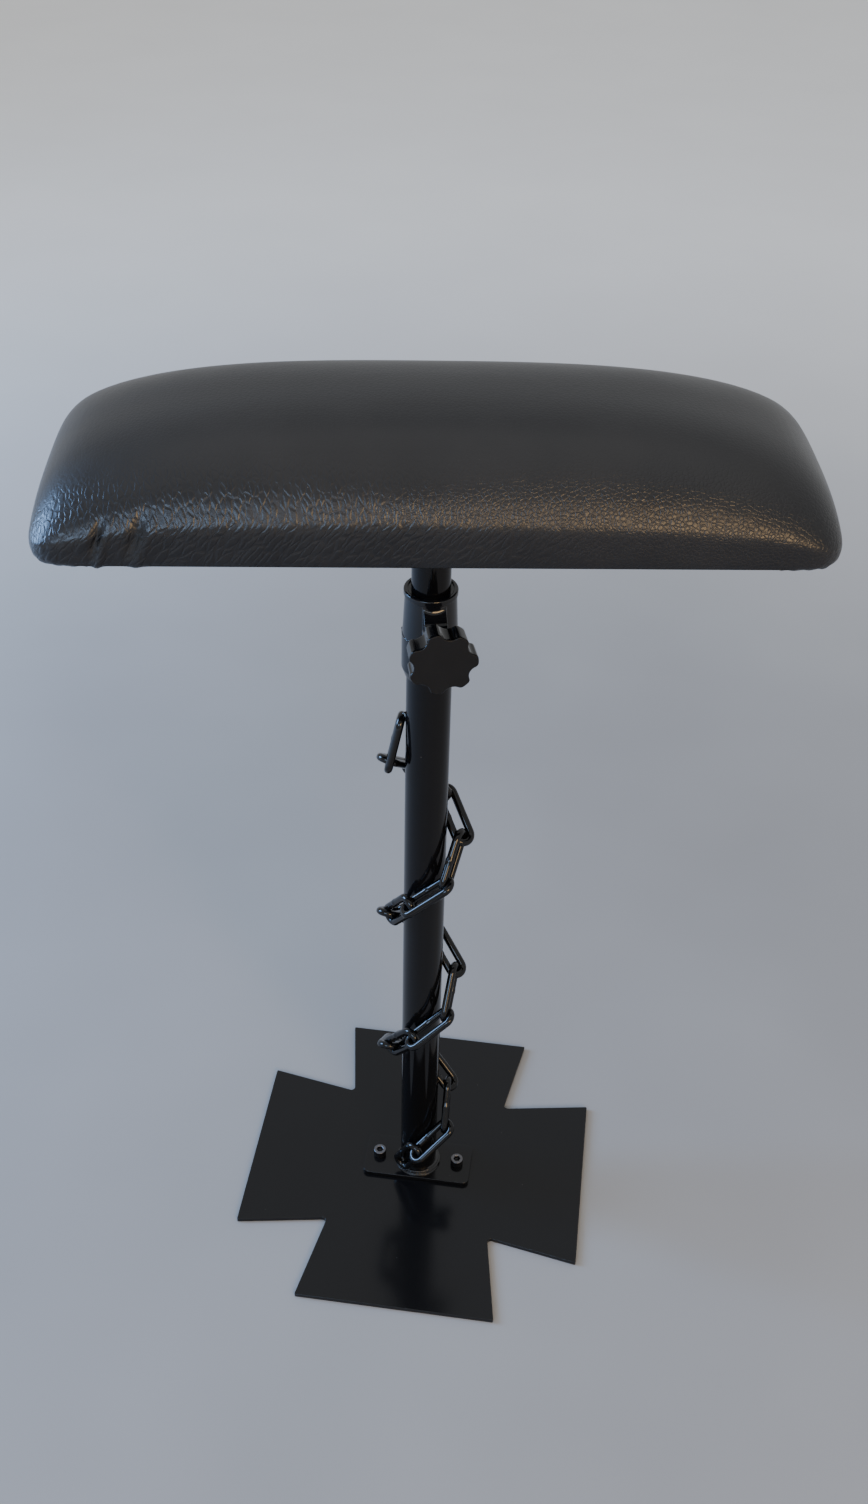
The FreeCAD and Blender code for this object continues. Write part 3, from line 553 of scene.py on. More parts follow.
def makeFootScrews(screw):
    shells = [shell(socketScrew(screw, side * screw["spacing"] / 2)) for side in (-1, 1)]
    addPiece("footScrews", shells, screwLook, "stand", ["flange_screws"], 35)


footWeld = {"radius": 19.05, "foot": 9.8, "leg": 5.0, "ripples": 46, "rippleHeight": 0.2, "wrinkle": 0.26}
beadShape = {
    "points": 360, "rows": 29, "bulge": 0.62, "wander": 0.09, "legPlay": 0.35, "wrinkles": 3,
    "sunk": 0.4,  # how far the bead's inner side lies inside the tube
}
chainTack = {"length": 9.0, "width": 6.5, "height": 3.2, "radius": 19.6, "wave": 0.08, "ripple": 0.06}


def weldBead(weld, upwards=1, seed=3):
    # round the tube: a bulged fillet with a ripple for each laid drop, a leg that grows and shrinks slowly,
    # and wrinkles that run round it
    rng = np.random.default_rng(seed)
    bead = beadShape
    angle = evenly(bead["points"])
    waves = sum(rng.uniform(0.3, 1) * np.sin(k * angle + rng.uniform(0, 6)) for k in range(2, 7))
    wander = waves * bead["wander"]
    phase = (angle * weld["ripples"] / (2 * np.pi) + wander) % 1
    ripple = (1 - (2 * phase - 1) ** 4) * weld["rippleHeight"]
    leg = weld["leg"] * (1 + wander * bead["legPlay"])
    across = np.linspace(0, 1, bead["rows"])[:, None]
    turns = across * 2 * np.pi * bead["wrinkles"] + 1.4 * np.sin(2 * angle + 0.7) + 3 * wander
    swell = np.sin(across * np.pi) ** 0.8 * (bead["bulge"] + ripple + weld["wrinkle"] * np.sin(turns))
    out, rise = leg * (1 - across) + swell, leg * across + swell
    out = np.concatenate([out, out[-1:] * 0 - bead["sunk"], out[:1] * 0 - bead["sunk"]])
    rise = np.concatenate([rise, rise[-1:], rise[:1]])
    return shell(polar(weld["radius"] + out, angle, weld["foot"] + upwards * rise), wrapRows=True)


# Column: tube, post and what runs inside it

tubePart = {"radius": 19.05, "wall": 1.65, "bottom": 9.8, "top": 700, "edge": 0.4}
postPart = {"radius": 15.875, "wall": 1.65, "bottom": 318.4, "top": 818.4, "edge": 0.4}


def pipe(part, steps):
    # a closed profile turned about the upright: outer wall, rounded rims and bore
    outer, inner, edge = part["radius"], part["radius"] - part["wall"], part["edge"]
    profile = roundedLine([(outer, part["bottom"], edge), (outer, part["top"], edge),
                           (inner, part["top"], edge), (inner, part["bottom"], edge)], True, 4, 0.3)
    return shell(lathe(profile, steps), wrapRows=True)


def makeColumn():
    addPiece("outerTube", [pipe(tubePart, 160)], tubeLook, "stand", ["outer_tube"], 50)
    addPiece("innerPost", [pipe(postPart, 144)], postLook, "rest", ["inner_post"], 50)


# Collar with its lug: outer radius as a function of angle and height

collarPart = {
    "azimuth": -73.3,
    "profile": [  # outer (radius, height, rounding), upwards
        (19.12, 660, 0), (20.6, 660, 0.5), (23.2, 668, 1.2), (23.2, 700, 0.25), (22.7, 700.3, 0.3),
        (21.05, 736.0, 0.5), (21.1, 736.6, 0.3), (21.95, 737.4, 0.7), (21.95, 742, 1.3), (18.9, 742, 0.8),
        (18.3, 740.9, 0.4), (16.0, 740.9, 0),
    ],
    "bore": [
        (15.93, 740.5, 0), (15.93, 728, 0), (16.28, 727.6, 0), (16.28, 700.3, 0), (19.1, 700.1, 0),
        (19.1, 660.3, 0),
    ],
    "skin": 20.2,  # points further out than this belong to the outside
    "fineFrom": 11, "fineTo": 30,  # between these angles from the lug's middle the points are closest
    "lugHalf": 9.3, "lugRoot": 21.5, "lugFront": 30.2, "lugBottom": 686, "lugTop": 732,
    "slopeBlend": 2.0, "edgeBlend": 2.4, "rootBlend": 2.2,
    "bossHeight": 712, "bossBack": 22, "bossRadius": 10, "bossTip": 8.3, "bossEnd": 42, "bossEdge": 1.2,
    "boreRadius": 6.5, "boreBack": 26,
    "nubAngle": -112, "nubHeight": 699.2, "nubSize": 1.15, "nubRadius": 22.7, "nubSpread": 1.6,
}


def makeCollar(part):
    # the sleeve's radius at each angle and height is the larger of the turned profile and the lug, a sloping
    # block seen from the axis, with a soft step between them; the boss is a tube turned about its own axis
    profile = refined(roundedLine(part["profile"], False, 5, 0.1), 0.9)
    near, far = part["fineFrom"], part["fineTo"]
    spans = [np.linspace(0, near, 12)[:-1], np.linspace(near, far, 58), np.linspace(far, 180, 74)[1:]]
    half = np.concatenate(spans)
    degrees = np.concatenate([half, -half[1:-1][::-1]])
    local = np.radians(degrees)[None, :]
    radius, height = profile[:, :1], profile[:, 1:]
    slope = softMin(height - part["lugBottom"], part["lugTop"] - height, part["slopeBlend"])
    front = softMin(part["lugRoot"] + slope, part["lugFront"] + 0 * slope, part["edgeBlend"])
    ahead = np.cos(local)
    across = np.maximum(np.abs(np.sin(local)), 0.02)
    lug = softMin(front / np.maximum(ahead, 0.3), part["lugHalf"] / across, part["edgeBlend"])
    lug = np.where(ahead > 0.6, lug, 0)
    outer = radius > part["skin"]
    blended = np.where(outer, softMax(radius + 0 * lug, lug, part["rootBlend"]), radius + 0 * lug)
    away = (np.degrees(local) - part["nubAngle"]) * np.pi / 180 * part["nubRadius"]
    nub = part["nubSize"] * np.exp(-(away ** 2 + (height - part["nubHeight"]) ** 2) / part["nubSpread"])
    blended = blended + np.where(outer, nub, 0)
    turn = local + math.radians(part["azimuth"])
    bore = roundedLine(part["bore"], False)
    sides = [polar(blended, turn, height), polar(bore[:, :1], turn, bore[:, 1:])]
    sleeve = shell(np.concatenate(sides), wrapRows=True)
    start, end, boss, front = part["bossBack"], part["bossEnd"], part["bossRadius"], part["lugFront"]
    bossLine = roundedLine([
        (0, start, 0), (boss + 0.8, start, 0), (boss + 0.3, front - 1.2, 0.8), (boss - 0.4, front + 2, 0),
        (part["bossTip"], end, part["bossEdge"]), (part["boreRadius"], end, 0.2),
        (part["boreRadius"], part["boreBack"], 0), (0, part["boreBack"], 0),
    ], False, 8)
    bossShell = shell(facing(lathe(bossLine, 96), part["azimuth"], (0, 0, part["bossHeight"])))
    addPiece("lockCollar", [sleeve, bossShell], collarLook, "stand", ["lock_collar"], 50)


# Star knob on its threaded stud

knobPart = {
    "azimuth": -73.3, "height": 712, "radius": 28, "lobes": 7, "notchRadius": 8.5, "notchCentre": 31.5,
    "lobeRound": 4.2, "firstLobe": 3.0, "back": 47, "face": 65, "hubRadius": 10, "hubBack": 43.5,
    "faceEdge": 1.0, "backEdge": 0.8, "draft": 0.5, "holeRadius": 4.1, "holeDepth": 14,
    "gloss": 0.25, "toneDark": (0.003, 0.003, 0.0034), "toneLight": (0.005, 0.005, 0.0056), "grain": 1900,
}
studPart = {"radius": 4.0, "start": 21, "end": 60, "pitch": 1.25, "depth": 0.62}


def knobOutline(part):
    # half a lobe: arc of the knob's circle, of the lobe's round and of the notch; then mirrored, and turned
    # once for each lobe
    sector = np.pi / part["lobes"]
    inner, outer, notch = part["radius"] - part["lobeRound"], part["notchCentre"], part["notchRadius"]
    gap = part["lobeRound"] + notch
    lean = sector - math.acos((inner ** 2 + outer ** 2 - gap ** 2) / (2 * inner * outer))
    roundMiddle = inner * np.array([math.cos(lean), math.sin(lean)])
    notchMiddle = outer * np.array([math.cos(sector), math.sin(sector)])
    toNotch = math.atan2(*(notchMiddle - roundMiddle)[::-1])
    arcs = [((0, 0), part["radius"], 0, lean, 3), (roundMiddle, part["lobeRound"], lean, toNotch, 14),
            (notchMiddle, notch, toNotch - np.pi, sector - np.pi, 12)]
    half = []
    for middle, radius, start, end, count in arcs:
        angle = np.linspace(start, end, count)[1:]
        half.append(np.array(middle) + radius * np.stack([np.cos(angle), np.sin(angle)], -1))
    half = np.concatenate([[[part["radius"], 0]]] + half)
    lobe = np.concatenate([(half * (1, -1))[::-1][1:], half[1:]])
    turns = np.arange(part["lobes"])[:, None] * 2 * sector + math.radians(part["firstLobe"])
    c, s = np.cos(turns), np.sin(turns)
    x, y = lobe[:, 0], lobe[:, 1]
    return np.stack([x * c - y * s, x * s + y * c], -1).reshape(-1, 2)


def makeKnob(part):
    # rows of one outline: the stud's hole, the hub, the back, the drafted side with both edges, the face
    outline = knobOutline(part)
    normal = outwardOf(outline)
    angle = np.arctan2(outline[:, 1], outline[:, 0])
    ring = np.stack([np.cos(angle), np.sin(angle)], -1)
    back, face, hub = part["back"], part["face"], part["hubRadius"]
    hubBack, draft, bottom = part["hubBack"], part["draft"], face - part["holeDepth"]
    rows = [(ring * 0, bottom), (ring * (part["holeRadius"] - 0.05), bottom),
            (ring * part["holeRadius"], hubBack), (ring * (hub - 0.6), hubBack),
            (ring * (hub - 0.15), hubBack + 0.2), (ring * hub, hubBack + 0.6), (ring * hub, back)]
    edge = part["backEdge"]
    backRim = outline - normal * edge * 2 - ring * hub
    rows += [(ring * hub + backRim * share, back) for share in (0.1, 0.6, 1)]
    for turn in np.linspace(0, np.pi / 2, 5):
        inset, rise = draft + edge * (1 - math.sin(turn)), edge * (1 - math.cos(turn))
        rows.append((outline - normal * inset, back + rise))
    for share in (0.85, 0.5, 0.15):
        rows.append((outline - normal * draft * share, back + (face - back) * (1 - share)))
    edge = part["faceEdge"]
    for turn in np.linspace(0, np.pi / 2, 5):
        rows.append((outline - normal * edge * (1 - math.cos(turn)), face - edge * (1 - math.sin(turn))))
    rows += [(outline - normal * edge * 1.15, face), (outline - normal * edge * 1.6, face)]
    rows += [(outline * share, face) for share in (0.86, 0.5, 0)]
    points = np.stack([laid(spots, height) for spots, height in rows])
    points = facing(points, part["azimuth"], (0, 0, part["height"]))
    look = Look("knobPlastic", {"Specular IOR Level": part["gloss"]})
    spot = look.place((0, 0, part["height"] * mm))
    out = (math.cos(math.radians(part["azimuth"])), math.sin(math.radians(part["azimuth"])), 0)
    along = look.node("VectorMath", {"operation": "DOT_PRODUCT"}, {0: spot, 1: out}, "Value")
    flat = along.ramp((part["face"] - 0.35) * mm, (part["face"] - 0.05) * mm)  # 1 on the grained face
    grain = look.noise(spot, part["grain"])
    look.feed({
        "Base Color": look.tint(look.noise(spot, 60), part["toneDark"], part["toneLight"]),
        "Roughness": flat * 0.36 + grain * 0.05 + 0.1,
        "Normal": look.bump(grain * (flat * 0.9 + 0.1), 0.025),
    })
    addPiece("knobHead", [shell(points)], look, "knob", ["knob_head"], 50)


def makeStud(part):
    # thread: the radius is a triangle wave of height over pitch, shifted by one pitch in a turn
    angle = np.linspace(0, 2 * np.pi, 49)[:-1][None, :]
    height = np.arange(part["start"], part["end"], part["pitch"] / 6)[:, None]
    phase = (height / part["pitch"] - angle / (2 * np.pi)) % 1
    ease = np.clip(np.minimum(height - part["start"], part["end"] - height) / 1.2, 0, 1)
    radius = part["radius"] - part["depth"] * (1 - np.abs(2 * phase - 1) * ease)
    rings = [polar(0, angle, part["start"]), polar(radius, angle, height), polar(0, angle, height[-1])]
    points = facing(np.concatenate(rings), knobPart["azimuth"], (0, 0, knobPart["height"]))
    look = Look("studZinc", {"Metallic": 1.0})
    stain = look.noise(look.place(), 300, 2)
    look.feed({
        "Base Color": look.tint(stain, (0.42, 0.42, 0.41), (0.62, 0.61, 0.58)),
        "Roughness": stain * 0.15 + 0.22,
    })
    addPiece("knobStud", [shell(points)], look, "knob", ["knob_stud"], 60)
    return look


# Chain: each link is a round bar on a stadium path, set where its CAD link is

linkPart = {
    "length": 59.8, "wire": 6.2, "innerWidth": 9.0, "count": 19,
    "painted": 7.2,  # the bar with its thick paint
    "weldSwell": 0.35, "weldLength": 4.0,
}


def linkGrid(part):
    # path: two straights and two half circles; section: a circle, fuller at the butt weld in one straight
    bend = (part["innerWidth"] + part["wire"]) / 2
    straight = part["length"] / 2 - part["wire"] / 2 - bend
    quarter = np.linspace(-np.pi / 2, np.pi / 2, 17)
    run = np.linspace(-straight, straight, 25)[1:-1]
    rightEnd = np.stack([straight + bend * np.cos(quarter), bend * np.sin(quarter)], -1)
    leftEnd = -rightEnd
    upper, lower = np.stack([-run, 0 * run + bend], -1), np.stack([run, 0 * run - bend], -1)
    path = np.concatenate([rightEnd, upper, leftEnd, lower])
    normal = outwardOf(path)
    swell = part["weldSwell"] * np.exp(-(path[:, 0] / part["weldLength"] * 1.9) ** 4)
    swell = np.where(path[:, 1] > 0, swell, 0)
    radius = (part["painted"] / 2 + swell)[:, None]
    around = evenly(20)
    out, up = radius * np.cos(around), radius * np.sin(around)
    flat = path[:, None, :] + normal[:, None, :] * out[..., None]
    return np.concatenate([flat, up[..., None]], -1)


def linkPose(node):
    # longest, middle and shortest direction of the CAD link's own points, and the middle of its box in them
    mesh = nodes[node].data
    points = np.empty(len(mesh.vertices) * 3, np.float32)
    mesh.vertices.foreach_get("co", points)
    points = np.unique(np.round(points.reshape(-1, 3).astype(float) / mm, 3), axis=0)
    centred = points - points.mean(0)
    axes = np.linalg.svd(centred, full_matrices=False)[2]
    axes[2] = np.cross(axes[0], axes[1])
    inAxes = points @ axes.T
    return axes, (inAxes.min(0) + inAxes.max(0)) / 2 @ axes


def makeChain(part):
    grid = linkGrid(part)
    ends = {}
    for index in range(1, part["count"] + 1):
        node = "chain_link_%02d" % index
        axes, middle = linkPose(node)
        link = shell((grid.reshape(-1, 3) @ axes + middle).reshape(grid.shape), wrapRows=True)
        addPiece("chainLink%02d" % index, [link], chainLook, "stand", [node])
        reach = (part["length"] - part["wire"]) / 2
        ends[index] = sorted([middle + axes[0] * reach, middle - axes[0] * reach], key=lambda end: end[2])
    return ends[1][0], ends[part["count"]][1]


def tackShell(end, part, seed):
    # a lump of weld between a link's end and the tube: an ellipsoid with slow waves in its radius
    rng = np.random.default_rng(seed)
    azimuth = math.degrees(math.atan2(end[1], end[0]))
    tall = np.linspace(-np.pi / 2, np.pi / 2, 19)[:, None]
    turn = evenly(36)[None, :]
    wave = 1 + part["wave"] * np.sin(3 * turn + rng.uniform(0, 6)) * np.cos(tall)
    wave = wave + part["ripple"] * np.sin(5 * turn + 4 * tall)
    x = part["width"] / 2 * np.cos(tall) * np.cos(turn) * wave
    y = part["length"] / 2 * np.cos(tall) * np.sin(turn) * wave
    z = part["height"] * np.sin(tall) * wave
    turned = math.radians(azimuth)
    spot = (part["radius"] * math.cos(turned), part["radius"] * math.sin(turned), end[2])
    return shell(facing(np.stack([x, y, z], -1), azimuth, spot))


makeFootPlate(footPlate)
makeFlange(footFlange)
makeFootScrews(footScrew)
makeColumn()
makeCollar(collarPart)
makeKnob(knobPart)
zincLook = makeStud(studPart)
lowEnd, highEnd = makeChain(linkPart)
weldShells = [weldBead(footWeld), tackShell(lowEnd, chainTack, 5), tackShell(highEnd, chainTack, 6)]
addPiece("standWelds", weldShells, weldLook, "stand", ["stand_welds"])
print("stand, collar, knob and chain made")


# Pad mount: plate and the weld under it

mountPart = {"length": 140, "depth": 90, "bottom": 818.4, "top": 823.4, "corner": 8, "edge": 0.6, "turn": 8.9}
mountWeld = {"radius": 15.875, "foot": 818.4, "leg": 4.0, "ripples": 38, "rippleHeight": 0.3, "wrinkle": 0.08}


def makeMount(part):
    outline = rectangle(part["length"], part["depth"], part["corner"])
    points = turnedBy(slab(outline, part["bottom"], part["top"], part["edge"]), part["turn"])
    addPiece("mountPlate", [shell(points)], steelLook, "rest", ["mount_plate"], 40)
    addPiece("mountWeld", [weldBead(mountWeld, -1, 8)], weldLook, "rest")


makeMount(mountPart)


# Arm pad

armPad = {
    "length": 580.4, "width": 216, "height": 90, "endHeight": 20.5, "corner": 25, "drawIn": 3, "edge": 2.4,
    "wall": 0.38, "leastWall": 13, "shoulder": 16.2, "shift": 1.8, "underside": 822.8, "turn": 8.9,
    "sidePowers": (3.0, 1.4), "endPowers": (3.05, 2.05),
    "startDrop": 1.4, "voxel": 4.0, "pressure": 4.0, "frames": 20, "easing": 30, "endSwell": 0.25,
    "heldBelow": 6,  # points lower than this are pinned to the board
    "quickSwell": (0.012, 0.03, 0.04), "quickMost": 3,
    "swellHeights": (4, 18, 36, 60), "mostSwell": (0.2, 0.5, 0.9, 2.6),
    "recess": 1.6, "recessHalf": (253.2, 69.2), "recessEdge": 3, "recessBelow": 3,
    "boardHalf": (287.35, 103.35), "boardCorner": 38, "boardBottom": 1.2, "boardTop": 16.2, "room": 0.9,
    "boardRim": 12,  # only points this near to the board's sides are moved out of it
    "tuckFrom": 85, "tuckFade": 12,  # towards the front
    "tucks": [  # place along the pad, lean, width, depth, lip, height where it is deepest
        (-242, 0.3, 3.2, 4.2, 2.2, 23), (-216, 0.34, 4.4, 3.4, 1.6, 26),
    ],
    "pleatMiddle": (245, 62), "pleatFrom": 12, "pleatFade": 10, "pleatTurns": 13, "pleatDepth": 0.7,
    "pleatBelow": 1.5,
    "foamInset": 6.0,
}


def dome(share, powers):
    # 1 in the middle and 0 at the rim: (1 - share^p)^(1/q)
    return np.maximum(1 - np.abs(share) ** powers[0], 0) ** (1 / powers[1])


def padGrid(pad, inset, drop, floor, rowCount=72, archCount=56):
    # one closed section for each place along the pad: underside, rounded edge, side, domed top and back down.
    # Half its width follows the circle of the pad's corner, its height is a dome over the pad's length
    halfLength = pad["length"] / 2 - inset
    corner, side = pad["corner"] - inset, pad["width"] / 2 - inset
    x = halfLength * np.sin(np.linspace(-np.pi / 2, np.pi / 2, rowCount))[:, None]
    past = np.maximum(np.abs(x) - (halfLength - corner), 0)
    half = side - corner + np.sqrt(np.maximum(corner ** 2 - past ** 2, 0))
    edge = pad["edge"] if floor == 0 else 0.01
    endHeight = max(pad["endHeight"] - inset, floor + 1)
    height = endHeight + (pad["height"] - inset - endHeight) * dome(x / halfLength, pad["endPowers"])
    height = height - drop * np.maximum(height - pad["shoulder"], 0) / (pad["height"] - pad["shoulder"])
    bend = softMax(pad["wall"] * height, max(pad["leastWall"], floor + edge + 0.4) + 0 * height, 4)
    bend = np.minimum(bend, height - 0.3)
    foot = half - pad["drawIn"]
    swing = np.linspace(0, np.pi, archCount)
    share = np.cos(swing)
    archY, archZ = share * half, bend + (height - bend) * dome(share, pad["sidePowers"])
    turn = np.linspace(0, np.pi / 2, 5)
    roundY = foot - edge * (1 - np.sin(turn))
    roundZ = floor + edge * (1 - np.cos(turn)) + 0 * x
    rise = np.linspace(0, 1, 8)[1:-1]
    wallY = foot + (half - foot) * rise
    wallZ = floor + edge + (bend - floor - edge) * rise
    across = np.linspace(-1, 1, 34)[1:-1]
    floorY = (foot - edge) * across
    floorZ = floor + 0 * floorY
    y = np.concatenate([floorY, roundY, wallY, archY, -wallY[:, ::-1], -roundY[:, ::-1]], 1)
    z = np.concatenate([floorZ, roundZ, wallZ, archZ, wallZ[:, ::-1], roundZ[:, ::-1]], 1)
    points = np.stack([x + pad["shift"] + 0 * y, y, z], -1)
    middle = points.mean(1, keepdims=True)
    first, last = middle[:1] + 0 * points[:1], middle[-1:] + 0 * points[-1:]
    return np.concatenate([first, points, last])


def evaluated(piece):
    graph = bpy.context.evaluated_depsgraph_get()
    return bpy.data.meshes.new_from_object(piece.evaluated_get(graph))


def coordinates(mesh):
    points = np.empty(len(mesh.vertices) * 3, np.float32)
    mesh.vertices.foreach_get("co", points)
    return points.reshape(-1, 3).astype(float) / mm


def setCoordinates(mesh, points):
    mesh.vertices.foreach_set("co", (points * mm).astype(np.float32).ravel())
    mesh.update()


def eased(mesh, move, rounds):
    # every point's move becomes half its own and half the mean of its neighbours', over and over
    ends = np.empty(len(mesh.edges) * 2, np.int32)
    mesh.edges.foreach_get("vertices", ends)
    ends = ends.reshape(-1, 2)
    start, end = ends.T.ravel(), ends[:, ::-1].T.ravel()
    count = np.bincount(start)[:, None]
    for step in range(rounds):
        total = np.stack([np.bincount(start, move[end, axis]) for axis in range(3)], -1)
        move = (move + total / count) / 2
    return move


def swollenPad(pad):
    # pad frame: the form starts slightly small, is remeshed and blown up as cloth over its board. Its moves
    # are cut to a cap that grows with height, and eased
    mesh = meshFrom("padStart", [shell(padGrid(pad, 0, pad["startDrop"], 0))])
    work = bpy.data.objects.new("padStart", mesh)
    scene.collection.objects.link(work)
    remesh = work.modifiers.new("remesh", "REMESH")
    remesh.mode = "VOXEL"
    remesh.voxel_size = pad["voxel"] * mm
    work.data = evaluated(work)
    work.modifiers.clear()
    start = coordinates(work.data)
    hold = work.vertex_groups.new(name="board")
    low = np.flatnonzero(start[:, 2] < pad["heldBelow"])
    hold.add([int(i) for i in low], 1.0, "REPLACE")
    cloth = work.modifiers.new("swell", "CLOTH")
    cloth.settings.vertex_group_mass = "board"
    cloth.settings.use_pressure = True
    cloth.settings.uniform_pressure_force = pad["pressure"]
    cloth.settings.effector_weights.gravity = 0
    for step in range(1, pad["frames"] + 1):
        scene.frame_set(step)
    swollen = coordinates(evaluated(work))
    work.modifiers.clear()
    scene.frame_set(1)
    move = swollen - start
    far = np.linalg.norm(move, axis=1, keepdims=True)
    most = np.interp(start[:, 2:], pad["swellHeights"], pad["mostSwell"])
    move[:, 0] *= pad["endSwell"]
    move = eased(work.data, move * np.minimum(1, most / np.maximum(far, 1e-6)), pad["easing"])
    setCoordinates(work.data, start + move)
    print("pad swollen, largest move before the cap: %.1f mm" % far.max())
    finer = work.modifiers.new("finer", "SUBSURF")
    finer.levels = finer.render_levels = 1
    mesh = evaluated(work)
    bpy.data.objects.remove(work)
    return mesh


def bell(distance, width):
    return np.exp(-(distance / width) ** 2)


def within(x, y, half, edge):
    # 1 inside a rectangle, falling to 0 at its sides over the edge's width
    return np.clip((half[0] - np.abs(x)) / edge, 0, 1) * np.clip((half[1] - np.abs(y)) / edge, 0, 1)


def clearOfBoard(points, pad):
    # distance from the board's outline: that from a smaller rectangle, less the corner's radius. What comes
    # too near goes straight out of the board's side or down below it, whichever is nearer
    past = np.abs(points[:, :2]) - (np.array(pad["boardHalf"]) - pad["boardCorner"])
    reach = np.maximum(past, 0)
    distance = np.hypot(*reach.T) + np.minimum(past.max(1), 0) - pad["boardCorner"]
    way = np.where(past.min(1, keepdims=True) > 0, reach, past == past.max(1, keepdims=True))
    way = way / np.linalg.norm(way, axis=1, keepdims=True) * np.sign(points[:, :2])
    z = points[:, 2]
    aside, down = pad["room"] - distance, z - (pad["boardBottom"] - pad["room"])
    above = pad["boardTop"] + pad["room"] - z
    near = (aside > 0) & (down > 0) & (above > 0) & (distance > -pad["boardRim"])
    moved = points.copy()
    moved[:, :2] += way * np.where(near & (aside <= down), np.minimum(aside, above), 0)[:, None]
    moved[:, 2] -= np.where(near & (aside > down), down, 0)
    return moved


def dressPad(points, pad):
    # what upholstery does to the blown-up form: gathered tucks, each a bell-shaped furrow with a bell-shaped
    # lip beside it, a recess where the dust cloth lies, and small pleats round the corners underneath
    x, y, z = points.T
    for spot, lean, width, depth, lip, middle in pad["tucks"]:
        away = x - spot - lean * z  # how far a point is to the right of the slanting fold line
        side = np.clip((-y - pad["tuckFrom"]) / pad["tuckFade"], 0, 1)
        y = y - side * lip * bell(away - width * 1.1, width * 1.2) * np.clip(1.6 - z / middle, 0, 1)
        y = y + side * depth * bell(away + width * 0.35, width) * bell(z - middle, middle * 0.5)
        z = z - lip * 0.6 * bell(away - width * 0.9, width) * side * np.clip(1 - z / 9, 0, 1)
    x, y, z = clearOfBoard(np.stack([x, y, z], -1), pad).T
    inside = within(x, y, pad["recessHalf"], pad["recessEdge"])
    z = z + np.where(z < pad["recessBelow"], inside * pad["recess"], 0)
    pastX, pastY = np.abs(x) - pad["pleatMiddle"][0], np.abs(y) - pad["pleatMiddle"][1]
    out = np.hypot(np.maximum(pastX, 0), np.maximum(pastY, 0))
    corner = np.clip((out - pad["pleatFrom"]) / pad["pleatFade"], 0, 1) * (pastX > 0) * (pastY > 0)
    pleat = np.sin(np.arctan2(pastY, pastX) * pad["pleatTurns"]) ** 2 * corner
    z = z - np.where(z < pad["pleatBelow"], pleat * pad["pleatDepth"], 0)
    return np.stack([x, y, z], -1)


def makePad(pad):
    look = leatherette(pad, leather)
    mesh = swollenPad(pad)
    setCoordinates(mesh, onPost(dressPad(coordinates(mesh), pad), pad))
    mesh.shade_smooth()
    cover = addPiece("padCover", mesh, look, "rest", ["pad_cover"])
    return cover


padCover = makePad(armPad)
print("pad made:", len(padCover.data.polygons), "faces")


# Foam block inside the cover, and the cloth under the board

def makeFoam(pad):
    # the pad's own form, drawn in and cut off flat on top of the board
    points = onPost(padGrid(pad, pad["foamInset"], 0, pad["shoulder"], 48, 40), pad)
    look = Look("foamCells", {"Specular IOR Level": 0.2})
    spot = look.place()
    pores = look.cells(spot, 900).ramp(0.15, 0.55)
    look.feed({
        # the base colour is darker in the pores: painted shade in their hollows
        "Base Color": look.tint(pores, (0.42, 0.40, 0.34), (0.62, 0.6, 0.53)),
        "Roughness": 0.9 - pores * 0.06,
        "Normal": look.bump(pores, 0.3),
    })
    foam = addPiece("padFoam", [shell(points)], look, "rest", ["pad_foam"], 50)


makeFoam(armPad)
print("foam made")


dustCloth = {
    "half": (265.0, 81.0), "panelHalf": (252.8, 68.8), "panelEdge": 1.5, "panelHeight": 0.9,
    "rimHeight": -0.3, "thick": 0.5, "cutEdge": 0.02, "sag": 0.25, "pucker": 0.3,
    "stapleGap": 44.0, "stapleInset": 6.0, "stapleLength": 10.0, "stapleDepth": 1.4, "wire": 0.7,
    "stapleSlip": 1.5, "stapleTwist": 4,  # how much they stray from their places
}


def dustHeight(x, y, part):
    # high inside the flap's opening, low on its rim, a smooth step between, crossed slow waves in the panel;
    # between staples the rim bellies down
    inside = within(x, y, part["panelHalf"], part["panelEdge"])
    inside = inside * inside * (3 - 2 * inside)
    belly = np.sin(x / part["stapleGap"] * np.pi) ** 2 * np.sin(y / part["stapleGap"] * np.pi + 0.8) ** 2
    wave = np.sin(x * 0.045 + 1.3 * np.sin(y * 0.05)) * np.sin(y * 0.07 + 0.8 * np.sin(x * 0.03))
    panel = part["panelHeight"] + part["sag"] * wave * 0.5
    rim = part["rimHeight"] - part["pucker"] * belly
    return rim + (panel - rim) * inside


